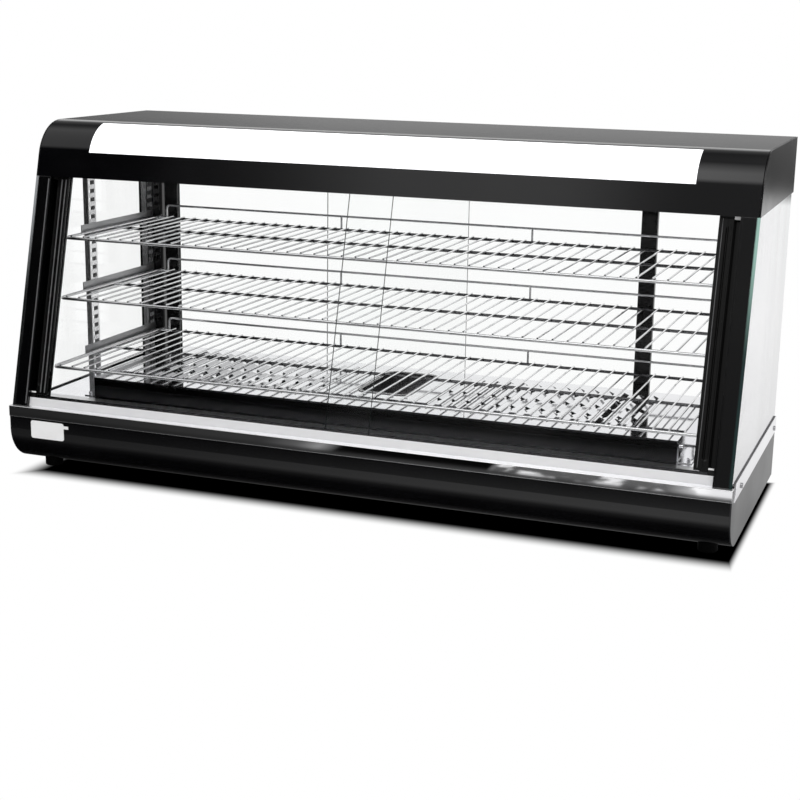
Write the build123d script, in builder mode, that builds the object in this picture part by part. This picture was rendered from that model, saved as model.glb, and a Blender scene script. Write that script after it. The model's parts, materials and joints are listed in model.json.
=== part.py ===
from build123d import *
import os
from math import cos, radians, sin, tan

os.makedirs("parts", exist_ok=True)

# Heated display case: a black base and hood, glass walls, sliding doors on
# the leaning front and at the back, and three wire shelves over a heater.
# X runs to the right, Y to the back and Z up, in millimetres. The origin is
# on the floor, in the middle of the width and of the whole depth.

# Whole case
WIDTH = 1200
BASE_DEPTH = 450
HOOD_OVERHANG = 26
FOOT_HEIGHT = 16
BASE_HEIGHT = 98.7
OPENING_HEIGHT = 372.7
HOOD_HEIGHT = 89.3
FRONT_LEAN = 14.59
LEDGE = 7.8

# Sheets and glass
BASE_SHEET = 1.5
SIDE_PLATE = 2
TRIM_SHEET = 1.2
HOOD_SHEET = 1.2
SIDE_GLASS = 5
DOOR_GLASS = 4

# Clearances
FIT = 0.3
RUN_GAP = 0.3
HANDLE_GAP = 1

# Base
ROLL_RADIUS = 60
ROLL_FLANGE = 20
LIP_HEIGHT = 17.5
SILL_DEPTH = 100
LIP_EDGE_RADIUS = 1.2
SIDE_STEP = 16
GLASS_LIP = 2.3
TRIM_HEIGHT = 25
TRIM_START = 16
TRIM_SLANT = 18
BOLT_HEAD_RADIUS = 4
BOLT_HEAD_HEIGHT = 2
BOLT_RADIUS = 2
BOLT_LENGTH = 8
BOLT_EDGE = 1
BOLT_DROP = 16
FRONT_BOLT_SETBACK = 79
REAR_BOLT_SETBACK = 20

# Feet
FOOT_RADIUS = 15
FOOT_EDGE = 2
FOOT_SIDE_INSET = 40
FOOT_ROLL_OFFSET = 6
FOOT_REAR_INSET = 40
FOOT_SCREW_RADIUS = 2.5
FOOT_SCREW_HEAD_RADIUS = 5
FOOT_SCREW_HEAD_HEIGHT = 3
FOOT_SCREW_RECESS = 8
FOOT_SCREW_REACH = 6

# Plate on the front panel
PLATE_LENGTH = 63
PLATE_HEIGHT = 30
PLATE_THICKNESS = 0.8
PLATE_CORNER = 4
PLATE_END_INSET = 41
PLATE_LIP_GAP = 4
PLATE_TAB_LENGTH = 9
PLATE_TAB_HEIGHT = 5
PLATE_TAB_DROP = 6.5

# Posts and uprights
POST_WIDTH = 23
POST_WALL = 1.5
FLANGE_REACH = 25
FLANGE_THICKNESS = 2
FLANGE_GAP = 2
REAR_POST_WIDTH = 44
REAR_POST_DEPTH = 20
UPRIGHT_INSET = 6
UPRIGHT_WIDTH = 24
UPRIGHT_DEPTH = 10
UPRIGHT_SHEET = 1.5
FRONT_UPRIGHT_SETBACK = 220
REAR_UPRIGHT_INSET = 33
SLOT_PITCH = 14.8
SLOT_WIDTH = 17
SLOT_HEIGHT = 7
FIRST_SLOT_RISE = 12

# Door tracks
TRACK_WALL = 2
TRACK_GROOVE = 6
TRACK_FLOOR = 2
TRACK_GROOVE_DEPTH = 8
TRACK_HEAD_DEPTH = 14
FRONT_TRACK_INSET = 7
REAR_TRACK_INSET = 1
RISER_LEAST = 1.5
FASCIA_SHEET = 1
FRONT_WALL_RISE = 5.5
WALL_STEP = 2.2
LIFT_ROOM = 9.5
FRONT_STOP = 10
REAR_STOP = 5
STOP_GAP = 0.5
STOP_PROUD = 6
STOP_SHOW = 6

# Doors
FRONT_OVERLAP = 76
REAR_OVERLAP = 108
REAR_RIGHT_OPEN = 156
FRONT_HANDLE_WIDTH = 22
REAR_HANDLE_WIDTH = 27.5
HANDLE_THICKNESS = 11
HANDLE_END_WALL = 2
HANDLE_EDGE = 1.2
FINGER_GROOVE_WIDTH = 8
FINGER_GROOVE_DEPTH = 2
FINGER_GROOVE_INSET = 3
FINGER_GROOVE_MARGIN = 15

# Hood
HOOD_RADIUS = 70
HOOD_SEAM = 1
SIGN_LENGTH = 1003
SIGN_LOW_ANGLE = 18.8
SIGN_HIGH_ANGLE = 75
SIGN_THICKNESS = 3
SIGN_RIM = 6
SIGN_RIM_THICKNESS = 1.5
SIGN_GAP = 0.2
LAMP_LENGTH = 860
LAMP_RADIUS = 8
LAMP_PIN_RADIUS = 1.2
LAMP_PIN_LENGTH = 7
LAMP_PIN_OFFSET = 2.7
LAMP_BACK = 19
LAMP_RISE = 44
HOLDER_THICKNESS = 10
HOLDER_WIDTH = 24
HOLDER_TOP = 14
HOLDER_CORNER = 4
BALLAST_LENGTH = 220
BALLAST_WIDTH = 42
BALLAST_HEIGHT = 28
BALLAST_SETBACK = 110
BALLAST_EDGE = 4

# Shelves and rails
RAIL_TOPS = (282.3, 182.8, 69.8)
RAIL_HEIGHT = 17
RAIL_SHEET = 1.5
RAIL_REACH = 15.5
RAIL_FRONT_OVERHANG = 26
RAIL_REAR_INSET = 22
TAB_WIDTH = 12
TAB_HEIGHT = 4
TAB_REACH = 3
FRAME_WIRE = 5
CROSS_WIRE = 3
WELD_DEPTH = 0.5
CROSS_PITCH = 23.5
SHELF_SIDE_GAP = 5.5
SHELF_CORNER = 12
SHELF_SETBACKS = (112, 91.5, 63.5)
SHELF_REAR_INSET = 27.5
FENCE_RISE = 24
FENCE_WIRE = 4
FENCE_CORNER = 8
FENCE_END_STEPS = 22.5
FENCE_STUB_STEPS = 7.5

# Heater cover, tray and heater
COVER_END_GAP = 93
COVER_SHEET = 1.2
COVER_HEIGHT = 35
COVER_FRONT_SETBACK = 106
COVER_REAR_INSET = 52
TRAY_LENGTH = 154
TRAY_WIDTH = 84
TRAY_CENTRE_X = -10
TRAY_CENTRE_Y = 42.5
TRAY_CORNER = 14
TRAY_DEPTH = 26
TRAY_SHEET = 1
TRAY_RIM = 6
LOUVRE_LENGTH = 40
LOUVRE_PITCH = 25
LOUVRE_ROW_PITCH = 58
LOUVRE_ROWS = 4
LOUVRE_WIDTH = 8
LOUVRE_HEIGHT = 3.5
LOUVRE_SLIT = 2.5
LOUVRE_INNER_MARGIN = 40
LOUVRE_OUTER_MARGIN = 65
DRAIN_HOLE_RADIUS = 2.5
DRAIN_HOLE_COUNT = 5
DRAIN_HOLE_SETBACK = 20
CLIP_WIDTH = 18
CLIP_REACH = 22
CLIP_SHEET = 1.5
CLIP_HEIGHT = 30
CLIP_SETBACK = 4
CLIP_STUD_RADIUS = 3
CLIP_STUD_LENGTH = 5
CLIP_STUD_INSET = 6
ELEMENT_RADIUS = 4
ELEMENT_RISE = 15
ELEMENT_DIP = 14
ELEMENT_BEND = 12
ELEMENT_INNER_GAP = 34
ELEMENT_OUTER_GAP = 40
ELEMENT_SPREAD = 150
BRACKET_SHEET = 1.5
BRACKET_WIDTH = 24
BRACKET_TOP = 5
BRACKET_FOOT = 10
BRACKET_INSET = 60
BRACKET_BEND_GAP = 10

# Controls in the base's rear wall
CONTROL_RISE = 58
KNOB_INSET = 220
KNOB_RADIUS = 18
KNOB_LENGTH = 15
KNOB_STANDOFF = 1
KNOB_EDGE = 1.5
KNOB_MARK_WIDTH = 2.4
KNOB_MARK_DEPTH = 1
SHAFT_RADIUS = 3
SHAFT_GAP = 0.05
SHAFT_LENGTH = 13
THERMOSTAT_WIDTH = 44
THERMOSTAT_HEIGHT = 34
THERMOSTAT_DEPTH = 30
THERMOSTAT_EDGE = 4
SWITCH_INSETS = (160, 120)
SWITCH_WIDTH = 15
SWITCH_HEIGHT = 21
SWITCH_BEZEL = 2
SWITCH_BEZEL_DEPTH = 1.5
SWITCH_BODY_DEPTH = 20
ROCKER_WIDTH = 10
ROCKER_HEIGHT = 16
ROCKER_PROUD = 3
ROCKER_TILT = 8
ROCKER_GAP = 0.5
ROCKER_SWING_GAP = 1
ROCKER_DEPTH = 9
ROCKER_DIP = 1.5
ROCKER_HEEL = 3
ROCKER_PIN_RADIUS = 1
ROCKER_PIN_GAP = 0.1
SWITCH_POCKET_DEPTH = 18
INDICATOR_INSET = 85
INDICATOR_RADIUS = 5
INDICATOR_FLANGE = 7
INDICATOR_PROUD = 4
INDICATOR_FLANGE_THICKNESS = 2
INDICATOR_EDGE = 1.3
INDICATOR_DEPTH = 16
GLAND_INSET = 50
GLAND_RADIUS = 9
GLAND_BORE = 4
GLAND_PROUD = 12
GLAND_LENGTH = 24
GLAND_FLANGE_RADIUS = 12
GLAND_FLANGE = 2.5
TERMINAL_LENGTH = 60
TERMINAL_WIDTH = 22
TERMINAL_HEIGHT = 18
TERMINAL_WIRE_RADIUS = 2
TERMINAL_WAYS = 5
TERMINAL_SETBACK = 44
TERMINAL_WIRE_RISE = 6

# Levels and places that follow from the sizes
SLOPE_TAN = tan(radians(FRONT_LEAN))
SLOPE_SIN = sin(radians(FRONT_LEAN))
SLOPE_COS = cos(radians(FRONT_LEAN))
HALF_WIDTH = WIDTH / 2
FRONT_Y = -(BASE_DEPTH + HOOD_OVERHANG) / 2
BASE_REAR_Y = FRONT_Y + BASE_DEPTH
HOOD_REAR_Y = BASE_REAR_Y + HOOD_OVERHANG
SILL_TOP = FOOT_HEIGHT + BASE_HEIGHT
SILL_UNDER = SILL_TOP - BASE_SHEET
HOOD_BOTTOM = SILL_TOP + OPENING_HEIGHT
HOOD_TOP = HOOD_BOTTOM + HOOD_HEIGHT
SLOPE_BOTTOM_Y = FRONT_Y + LEDGE
SLOPE_TOP_Y = SLOPE_BOTTOM_Y + OPENING_HEIGHT * SLOPE_TAN
PANEL_Y = FRONT_Y + BASE_SHEET
ROLL_Y = PANEL_Y + ROLL_RADIUS
ROLL_Z = FOOT_HEIGHT + ROLL_RADIUS
PLATE_INNER_X = HALF_WIDTH - SIDE_PLATE
GLASS_INNER_X = PLATE_INNER_X - SIDE_GLASS
POST_INNER_X = GLASS_INNER_X - POST_WIDTH
REAR_POST_INNER_X = GLASS_INNER_X - REAR_POST_WIDTH
UPRIGHT_INNER_X = POST_INNER_X - UPRIGHT_INSET
SIDE_TOP = SILL_TOP + GLASS_LIP
SILL_REAR_Y = FRONT_Y + SILL_DEPTH
FRONT_UPRIGHT_Y = FRONT_Y + FRONT_UPRIGHT_SETBACK
REAR_UPRIGHT_Y = BASE_REAR_Y - REAR_UPRIGHT_INSET
TRACK_DEPTH = 3 * TRACK_WALL + 2 * TRACK_GROOVE
HOOD_INNER_X = PLATE_INNER_X - BASE_SHEET
WALL_FACE_Y = BASE_REAR_Y
WALL_INNER_Y = BASE_REAR_Y - BASE_SHEET
CONTROL_Z = FOOT_HEIGHT + CONTROL_RISE
KNOB_X = HALF_WIDTH - KNOB_INSET
SWITCH_XS = [HALF_WIDTH - inset for inset in SWITCH_INSETS]
INDICATOR_X = HALF_WIDTH - INDICATOR_INSET
GLAND_X = HALF_WIDTH - GLAND_INSET
COVER_HALF = GLASS_INNER_X - COVER_END_GAP
COVER_FRONT_Y = FRONT_Y + COVER_FRONT_SETBACK
COVER_REAR_Y = BASE_REAR_Y - COVER_REAR_INSET
COVER_TOP = SILL_TOP + COVER_HEIGHT
FOOT_SPOTS = [
    (side * (HALF_WIDTH - FOOT_SIDE_INSET), y)
    for side in (-1, 1)
    for y in (ROLL_Y + FOOT_ROLL_OFFSET, BASE_REAR_Y - FOOT_REAR_INSET)
]
TRIM_BOLT_SPOTS = [
    (y, SIDE_TOP - BOLT_DROP)
    for y in (FRONT_Y + FRONT_BOLT_SETBACK, BASE_REAR_Y - REAR_BOLT_SETBACK)
]
ELEMENT_Z = SILL_TOP + ELEMENT_RISE
ELEMENT_Y = (COVER_FRONT_Y + COVER_REAR_Y) / 2
SHEATH_HOLE_RADIUS = ELEMENT_RADIUS + FIT


class Doorway:
    """One glazed side: depth runs into the case, height up along the glass."""

    def __init__(self, plane, inward, lean_tan, head, track_inset, seat, wall_rise, wall_step):
        self.plane = plane
        self.inward = inward
        self.lean_tan = lean_tan
        self.head = head
        self.track_inset = track_inset
        self.track_back = track_inset + TRACK_DEPTH
        self.seat = seat
        self.floor = seat + TRACK_FLOOR
        self.wall_rise = wall_rise
        self.wall_step = wall_step
        self.web = head + self.track_back * lean_tan + TRACK_HEAD_DEPTH
        self.up = Axis((0, 0, 0), tuple(plane.y_dir))

    def pane_depth(self, pane):
        """Depth of the middle of the outer pane (0) or the inner pane (1)."""
        pitch = TRACK_WALL + TRACK_GROOVE
        return self.track_inset + TRACK_WALL + TRACK_GROOVE / 2 + pane * pitch

    def wall_top(self, wall):
        """Top of the lower track's outer (0), middle (1) or inner (2) wall."""
        return self.floor + self.wall_rise + wall * self.wall_step

    def centre(self, near, far, low, high):
        """Local centre of a rectangle between two depths and two heights."""
        return (self.inward * (near + far) / 2, (low + high) / 2)

    def at(self, x):
        """The side plane, moved across the case."""
        return self.plane.offset(x)

    def face(self, x, depth, height):
        """A plane on the outside face, its first axis up the glass."""
        origin = self.plane.from_local_coords((self.inward * depth, height, x))
        return Plane(origin=origin, x_dir=self.plane.y_dir, z_dir=self.plane.x_dir * -self.inward)


front_seat = (FRONT_TRACK_INSET + TRACK_DEPTH) * SLOPE_TAN + RISER_LEAST
front_way = Doorway(
    plane=Plane(
        origin=(0, SLOPE_BOTTOM_Y, SILL_TOP),
        x_dir=(0, SLOPE_COS, -SLOPE_SIN),
        z_dir=(1, 0, 0),
    ),
    inward=1,
    lean_tan=SLOPE_TAN,
    head=OPENING_HEIGHT / SLOPE_COS,
    track_inset=FRONT_TRACK_INSET,
    seat=front_seat,
    wall_rise=FRONT_WALL_RISE,
    wall_step=WALL_STEP,
)
rear_way = Doorway(
    plane=Plane(origin=(0, BASE_REAR_Y, SILL_TOP), x_dir=(0, 1, 0), z_dir=(1, 0, 0)),
    inward=-1,
    lean_tan=0,
    head=OPENING_HEIGHT,
    track_inset=REAR_TRACK_INSET,
    seat=0,
    wall_rise=TRACK_GROOVE_DEPTH,
    wall_step=0,
)

# Base: the front panel is rolled under at the bottom
with BuildPart() as front_panel:
    with BuildSketch(Plane.YZ):
        with BuildLine():
            face_line = Line((PANEL_Y, SILL_UNDER), (PANEL_Y, ROLL_Z))
            roll = RadiusArc(face_line @ 1, (ROLL_Y, FOOT_HEIGHT), -ROLL_RADIUS)
            foot_line = Line(roll @ 1, (ROLL_Y + ROLL_FLANGE, FOOT_HEIGHT))
            step_up = Line(foot_line @ 1, (ROLL_Y + ROLL_FLANGE, FOOT_HEIGHT + BASE_SHEET))
            under = Line(step_up @ 1, (ROLL_Y, FOOT_HEIGHT + BASE_SHEET))
            inner_roll = RadiusArc(under @ 1, (PANEL_Y + BASE_SHEET, ROLL_Z), ROLL_RADIUS - BASE_SHEET)
            back_line = Line(inner_roll @ 1, (PANEL_Y + BASE_SHEET, SILL_UNDER))
            Line(back_line @ 1, face_line @ 0)
        make_face()
    extrude(amount=PLATE_INNER_X, both=True)
    with BuildSketch(Plane.XY.offset(FOOT_HEIGHT)):
        with Locations([spot for spot in FOOT_SPOTS if spot[1] < 0]):
            Circle(FOOT_SCREW_RADIUS + FIT)
    extrude(amount=BASE_SHEET, mode=Mode.SUBTRACT)
front_panel.part.label = "front_panel"
export_step(front_panel.part, "parts/front_panel.step")

# The pan is the floor and the rear wall of the base
with BuildPart() as base_pan:
    with BuildSketch(Plane.YZ):
        with BuildLine():
            Polyline(
                (ROLL_Y + ROLL_FLANGE, FOOT_HEIGHT),
                (BASE_REAR_Y, FOOT_HEIGHT),
                (BASE_REAR_Y, SILL_UNDER),
                (WALL_INNER_Y, SILL_UNDER),
                (WALL_INNER_Y, FOOT_HEIGHT + BASE_SHEET),
                (ROLL_Y + ROLL_FLANGE, FOOT_HEIGHT + BASE_SHEET),
                close=True,
            )
        make_face()
    extrude(amount=PLATE_INNER_X, both=True)
    with BuildSketch(Plane.XY.offset(FOOT_HEIGHT)):
        with Locations([spot for spot in FOOT_SPOTS if spot[1] > 0]):
            Circle(FOOT_SCREW_RADIUS + FIT)
    extrude(amount=BASE_SHEET, mode=Mode.SUBTRACT)
    with BuildSketch(Plane.XZ.offset(-BASE_REAR_Y)):
        with Locations((KNOB_X, CONTROL_Z)):
            Circle(SHAFT_RADIUS + FIT)
        with Locations([(x, CONTROL_Z) for x in SWITCH_XS]):
            Rectangle(SWITCH_WIDTH + 2 * FIT, SWITCH_HEIGHT + 2 * FIT)
        with Locations((INDICATOR_X, CONTROL_Z)):
            Circle(INDICATOR_RADIUS + FIT)
        with Locations((GLAND_X, CONTROL_Z)):
            Circle(GLAND_RADIUS + FIT)
    extrude(amount=BASE_SHEET, mode=Mode.SUBTRACT)
base_pan.part.label = "base_pan"
export_step(base_pan.part, "parts/base_pan.step")

# Side plates close the ends of the base, with a lip beside the glass
for side, name in ((-1, "left"), (1, "right")):
    with BuildPart() as side_plate:
        with BuildSketch(Plane.YZ.offset(side * PLATE_INNER_X)):
            with BuildLine():
                face_line = Line((PANEL_Y, SILL_UNDER), (PANEL_Y, ROLL_Z))
                roll = RadiusArc(face_line @ 1, (ROLL_Y, FOOT_HEIGHT), -ROLL_RADIUS)
                Polyline(
                    roll @ 1,
                    (BASE_REAR_Y, FOOT_HEIGHT),
                    (BASE_REAR_Y, SIDE_TOP),
                    (FRONT_Y + SIDE_STEP, SIDE_TOP),
                    (FRONT_Y + SIDE_STEP, SILL_UNDER),
                    face_line @ 0,
                )
            make_face()
        extrude(amount=side * SIDE_PLATE)
        with BuildSketch(Plane.YZ.offset(side * PLATE_INNER_X)):
            with Locations(TRIM_BOLT_SPOTS):
                Circle(BOLT_RADIUS + FIT)
        extrude(amount=side * SIDE_PLATE, mode=Mode.SUBTRACT)
    side_plate.part.label = f"side_plate_{name}"
    export_step(side_plate.part, f"parts/side_plate_{name}.step")

# Trim strips over the top edges of the side plates
with BuildPart() as side_trim:
    with BuildSketch(Plane.YZ.offset(HALF_WIDTH)):
        with BuildLine():
            Polyline(
                (FRONT_Y + TRIM_START, SIDE_TOP - TRIM_HEIGHT),
                (BASE_REAR_Y, SIDE_TOP - TRIM_HEIGHT),
                (BASE_REAR_Y, SIDE_TOP),
                (FRONT_Y + TRIM_START + TRIM_SLANT, SIDE_TOP),
                close=True,
            )
        make_face()
        with Locations(TRIM_BOLT_SPOTS):
            Circle(BOLT_RADIUS + FIT, mode=Mode.SUBTRACT)
    extrude(amount=TRIM_SHEET)
    mirror(about=Plane.YZ)
side_trim.part.label = "side_trim"
export_step(side_trim.part, "parts/side_trim.step")

with BuildPart() as trim_bolts:
    with BuildSketch(Plane.YZ.offset(HALF_WIDTH + TRIM_SHEET)):
        with Locations(TRIM_BOLT_SPOTS):
            Circle(BOLT_HEAD_RADIUS)
    extrude(amount=BOLT_HEAD_HEIGHT)
    fillet(trim_bolts.faces().sort_by(Axis.X)[-1].edges(), radius=BOLT_EDGE)
    with BuildSketch(Plane.YZ.offset(HALF_WIDTH + TRIM_SHEET - BOLT_LENGTH)):
        with Locations(TRIM_BOLT_SPOTS):
            Circle(BOLT_RADIUS)
    extrude(amount=BOLT_LENGTH)
    mirror(about=Plane.YZ)
trim_bolts.part.label = "trim_bolts"
export_step(trim_bolts.part, "parts/trim_bolts.step")

# Feet, each with a screw up into the base
with BuildPart() as feet:
    with Locations([(x, y, 0) for x, y in FOOT_SPOTS]):
        Cylinder(FOOT_RADIUS, FOOT_HEIGHT, align=(Align.CENTER, Align.CENTER, Align.MIN))
    fillet(feet.edges().group_by(Axis.Z)[0], radius=FOOT_EDGE)
    with Locations([(x, y, 0) for x, y in FOOT_SPOTS]):
        Cylinder(
            FOOT_SCREW_HEAD_RADIUS + FIT,
            FOOT_SCREW_RECESS,
            align=(Align.CENTER, Align.CENTER, Align.MIN),
            mode=Mode.SUBTRACT,
        )
        Cylinder(
            FOOT_SCREW_RADIUS + FIT,
            FOOT_HEIGHT,
            align=(Align.CENTER, Align.CENTER, Align.MIN),
            mode=Mode.SUBTRACT,
        )
feet.part.label = "feet"
export_step(feet.part, "parts/feet.step")

with BuildPart() as foot_screws:
    with Locations([(x, y, FOOT_SCREW_RECESS) for x, y in FOOT_SPOTS]):
        Cylinder(
            FOOT_SCREW_HEAD_RADIUS,
            FOOT_SCREW_HEAD_HEIGHT,
            align=(Align.CENTER, Align.CENTER, Align.MAX),
        )
        Cylinder(
            FOOT_SCREW_RADIUS,
            FOOT_HEIGHT - FOOT_SCREW_RECESS + FOOT_SCREW_REACH,
            align=(Align.CENTER, Align.CENTER, Align.MIN),
        )
foot_screws.part.label = "foot_screws"
export_step(foot_screws.part, "parts/foot_screws.step")

# Sill with its lip turned down over the front panel
with BuildPart() as sill:
    with BuildSketch(Plane.YZ):
        with BuildLine():
            Polyline(
                (FRONT_Y, SILL_TOP - LIP_HEIGHT),
                (FRONT_Y, SILL_TOP),
                (SILL_REAR_Y, SILL_TOP),
                (SILL_REAR_Y, SILL_UNDER),
                (PANEL_Y, SILL_UNDER),
                (PANEL_Y, SILL_TOP - LIP_HEIGHT),
                close=True,
            )
        make_face()
    extrude(amount=HALF_WIDTH, both=True)
    notch_depth = SILL_DEPTH - SIDE_STEP
    with BuildSketch(Plane.XY.offset(SILL_UNDER)):
        with Locations([(side * HALF_WIDTH, SILL_REAR_Y) for side in (-1, 1)]):
            Rectangle(2 * SIDE_PLATE, 2 * notch_depth)
    extrude(amount=BASE_SHEET, mode=Mode.SUBTRACT)
    front_top = sill.edges().filter_by(Axis.X).group_by(Axis.Z)[-1].sort_by(Axis.Y)[0]
    fillet(front_top, radius=LIP_EDGE_RADIUS)
sill.part.label = "sill"
export_step(sill.part, "parts/sill.step")

# Heater sheaths: each loop's two ends dip through the deck
tray_edges = (TRAY_CENTRE_X - TRAY_WIDTH / 2, TRAY_CENTRE_X + TRAY_WIDTH / 2)
sheath_ends = (tray_edges[0] - ELEMENT_INNER_GAP, tray_edges[1] + ELEMENT_INNER_GAP)
sheath_rows = (ELEMENT_Y - ELEMENT_SPREAD / 2, ELEMENT_Y + ELEMENT_SPREAD / 2)

with BuildPart() as deck:
    with BuildSketch(Plane.XY.offset(SILL_UNDER)):
        with Locations((0, (SILL_REAR_Y + BASE_REAR_Y) / 2)):
            Rectangle(2 * PLATE_INNER_X, BASE_REAR_Y - SILL_REAR_Y)
        with Locations([(x, y) for x in sheath_ends for y in sheath_rows]):
            Circle(SHEATH_HOLE_RADIUS, mode=Mode.SUBTRACT)
    extrude(amount=BASE_SHEET)
deck.part.label = "deck"
export_step(deck.part, "parts/deck.step")

# Bare white plate with a small tab, on the front panel
plate_x = -HALF_WIDTH + PLATE_END_INSET + PLATE_LENGTH / 2
plate_top = SILL_TOP - LIP_HEIGHT - PLATE_LIP_GAP
with BuildPart() as rating_plate:
    with BuildSketch(Plane.XZ.offset(-PANEL_Y)):
        with Locations((plate_x, plate_top - PLATE_HEIGHT / 2)):
            RectangleRounded(PLATE_LENGTH, PLATE_HEIGHT, PLATE_CORNER)
        with Locations((plate_x + PLATE_LENGTH / 2, plate_top - PLATE_TAB_DROP)):
            Rectangle(2 * PLATE_TAB_LENGTH, PLATE_TAB_HEIGHT)
    extrude(amount=PLATE_THICKNESS)
rating_plate.part.label = "rating_plate"
export_step(rating_plate.part, "parts/rating_plate.step")

# Side panes: the front edge leans with the doors
for side, name in ((-1, "left"), (1, "right")):
    with BuildPart() as side_glass:
        with BuildSketch(Plane.YZ.offset(side * GLASS_INNER_X)):
            with BuildLine():
                Polyline(
                    (SLOPE_BOTTOM_Y, SILL_TOP),
                    (BASE_REAR_Y, SILL_TOP),
                    (BASE_REAR_Y, HOOD_BOTTOM),
                    (SLOPE_TOP_Y, HOOD_BOTTOM),
                    close=True,
                )
            make_face()
        extrude(amount=side * SIDE_GLASS)
    side_glass.part.label = f"side_glass_{name}"
    export_step(side_glass.part, f"parts/side_glass_{name}.step")

# Front posts: hollow, leaning, with a stop flange behind the doors
flange_near = front_way.track_back + FLANGE_GAP
post_depth = flange_near + FLANGE_THICKNESS
post_middle_x = GLASS_INNER_X - POST_WIDTH / 2
flange_middle_x = POST_INNER_X - FLANGE_REACH / 2
for side, name in ((-1, "left"), (1, "right")):
    across = Plane(
        origin=(0, SLOPE_BOTTOM_Y, SILL_TOP), x_dir=(1, 0, 0), z_dir=(0, SLOPE_SIN, SLOPE_COS)
    )
    with BuildPart() as front_post:
        with BuildSketch(across.offset(-post_depth)):
            with Locations((side * post_middle_x, post_depth / 2)):
                Rectangle(POST_WIDTH, post_depth)
                Rectangle(POST_WIDTH - 2 * POST_WALL, post_depth - 2 * POST_WALL, mode=Mode.SUBTRACT)
            with Locations((side * flange_middle_x, flange_near + FLANGE_THICKNESS / 2)):
                Rectangle(FLANGE_REACH, FLANGE_THICKNESS)
        extrude(amount=front_way.head + 3 * post_depth)
        split(bisect_by=Plane.XY.offset(SILL_TOP), keep=Keep.TOP)
        split(bisect_by=Plane.XY.offset(HOOD_BOTTOM), keep=Keep.BOTTOM)
    front_post.part.label = f"front_post_{name}"
    export_step(front_post.part, f"parts/front_post_{name}.step")

# Rear posts: plain hollow posts
for side, name in ((-1, "left"), (1, "right")):
    with BuildPart() as rear_post:
        with BuildSketch(Plane.XY.offset(SILL_TOP)):
            with Locations(
                (side * (GLASS_INNER_X - REAR_POST_WIDTH / 2), BASE_REAR_Y - REAR_POST_DEPTH / 2)
            ):
                Rectangle(REAR_POST_WIDTH, REAR_POST_DEPTH)
                Rectangle(
                    REAR_POST_WIDTH - 2 * POST_WALL,
                    REAR_POST_DEPTH - 2 * POST_WALL,
                    mode=Mode.SUBTRACT,
                )
        extrude(amount=OPENING_HEIGHT)
    rear_post.part.label = f"rear_post_{name}"
    export_step(rear_post.part, f"parts/rear_post_{name}.step")

# Wedge that carries the front lower track square to the leaning doors; its
# front rises as a thin fascia that hides the track's outer wall
fascia_near = front_way.track_inset - FASCIA_SHEET
front_track_half = POST_INNER_X - FIT
rear_track_half = REAR_POST_INNER_X - FIT
with BuildPart() as track_riser:
    with BuildSketch(front_way.plane):
        with BuildLine():
            Polyline(
                (fascia_near, fascia_near * SLOPE_TAN),
                (fascia_near, front_way.wall_top(0)),
                (front_way.track_inset, front_way.wall_top(0)),
                (front_way.track_inset, front_way.seat),
                (front_way.track_back, front_way.seat),
                (front_way.track_back, front_way.track_back * SLOPE_TAN),
                close=True,
            )
        make_face()
    extrude(amount=front_track_half, both=True)
track_riser.part.label = "track_riser"
export_step(track_riser.part, "parts/track_riser.step")


def lower_track(way, half_length):
    """A track with two grooves open to the top, between three walls."""
    with BuildPart() as track:
        with BuildSketch(way.plane):
            with Locations(way.centre(way.track_inset, way.track_back, way.seat, way.floor)):
                Rectangle(TRACK_DEPTH, TRACK_FLOOR)
            for wall in (0, 1, 2):
                near = way.track_inset + wall * (TRACK_WALL + TRACK_GROOVE)
                top = way.wall_top(wall)
                with Locations(way.centre(near, near + TRACK_WALL, way.seat, top)):
                    Rectangle(TRACK_WALL, top - way.seat)
        extrude(amount=half_length, both=True)
    return track


def upper_track(way, half_length):
    """A track with two grooves open to the bottom, cut level with the hood."""
    near, far = way.track_inset, way.track_back
    low, top = way.head, way.web + TRACK_FLOOR
    with BuildPart() as track:
        with BuildSketch(way.plane):
            with Locations(way.centre(near, far, low, top)):
                Rectangle(TRACK_DEPTH, top - low)
            for pane in (0, 1):
                middle = way.pane_depth(pane)
                with Locations(way.centre(middle, middle, low, way.web)):
                    Rectangle(TRACK_GROOVE, way.web - low, mode=Mode.SUBTRACT)
        extrude(amount=half_length, both=True)
        if way.lean_tan > 0:
            split(bisect_by=Plane.XY.offset(HOOD_BOTTOM), keep=Keep.TOP)
    return track


track_sets = (("front", front_way, front_track_half), ("rear", rear_way, rear_track_half))
for name, way, half_length in track_sets:
    low_track = lower_track(way, half_length)
    low_track.part.label = f"{name}_lower_track"
    export_step(low_track.part, f"parts/{name}_lower_track.step")
    high_track = upper_track(way, half_length)
    high_track.part.label = f"{name}_upper_track"
    export_step(high_track.part, f"parts/{name}_upper_track.step")

# End stops in every groove, which the closed doors come up to; the lower
# ones stand above the track and the front upper ones hang below the hood
front_half = POST_INNER_X - FRONT_STOP
rear_half = REAR_POST_INNER_X - REAR_STOP
stop_sets = (
    (front_way, front_half, FRONT_STOP - STOP_GAP - FIT, STOP_SHOW),
    (rear_way, rear_half, REAR_STOP - STOP_GAP - FIT, 0),
)
with BuildPart() as track_stops:
    for way, half, length, show in stop_sets:
        stop_top = way.wall_top(2) + STOP_PROUD
        for side in (-1, 1):
            with BuildSketch(way.at(side * (half + STOP_GAP))):
                for pane in (0, 1):
                    middle = way.pane_depth(pane)
                    with Locations(way.centre(middle, middle, way.floor, stop_top)):
                        Rectangle(TRACK_GROOVE, stop_top - way.floor)
                    stop_low = way.head + middle * way.lean_tan - show
                    with Locations(way.centre(middle, middle, stop_low, way.web)):
                        Rectangle(TRACK_GROOVE, way.web - stop_low)
            extrude(amount=side * length)
track_stops.part.label = "track_stops"
export_step(track_stops.part, "parts/track_stops.step")


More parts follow.
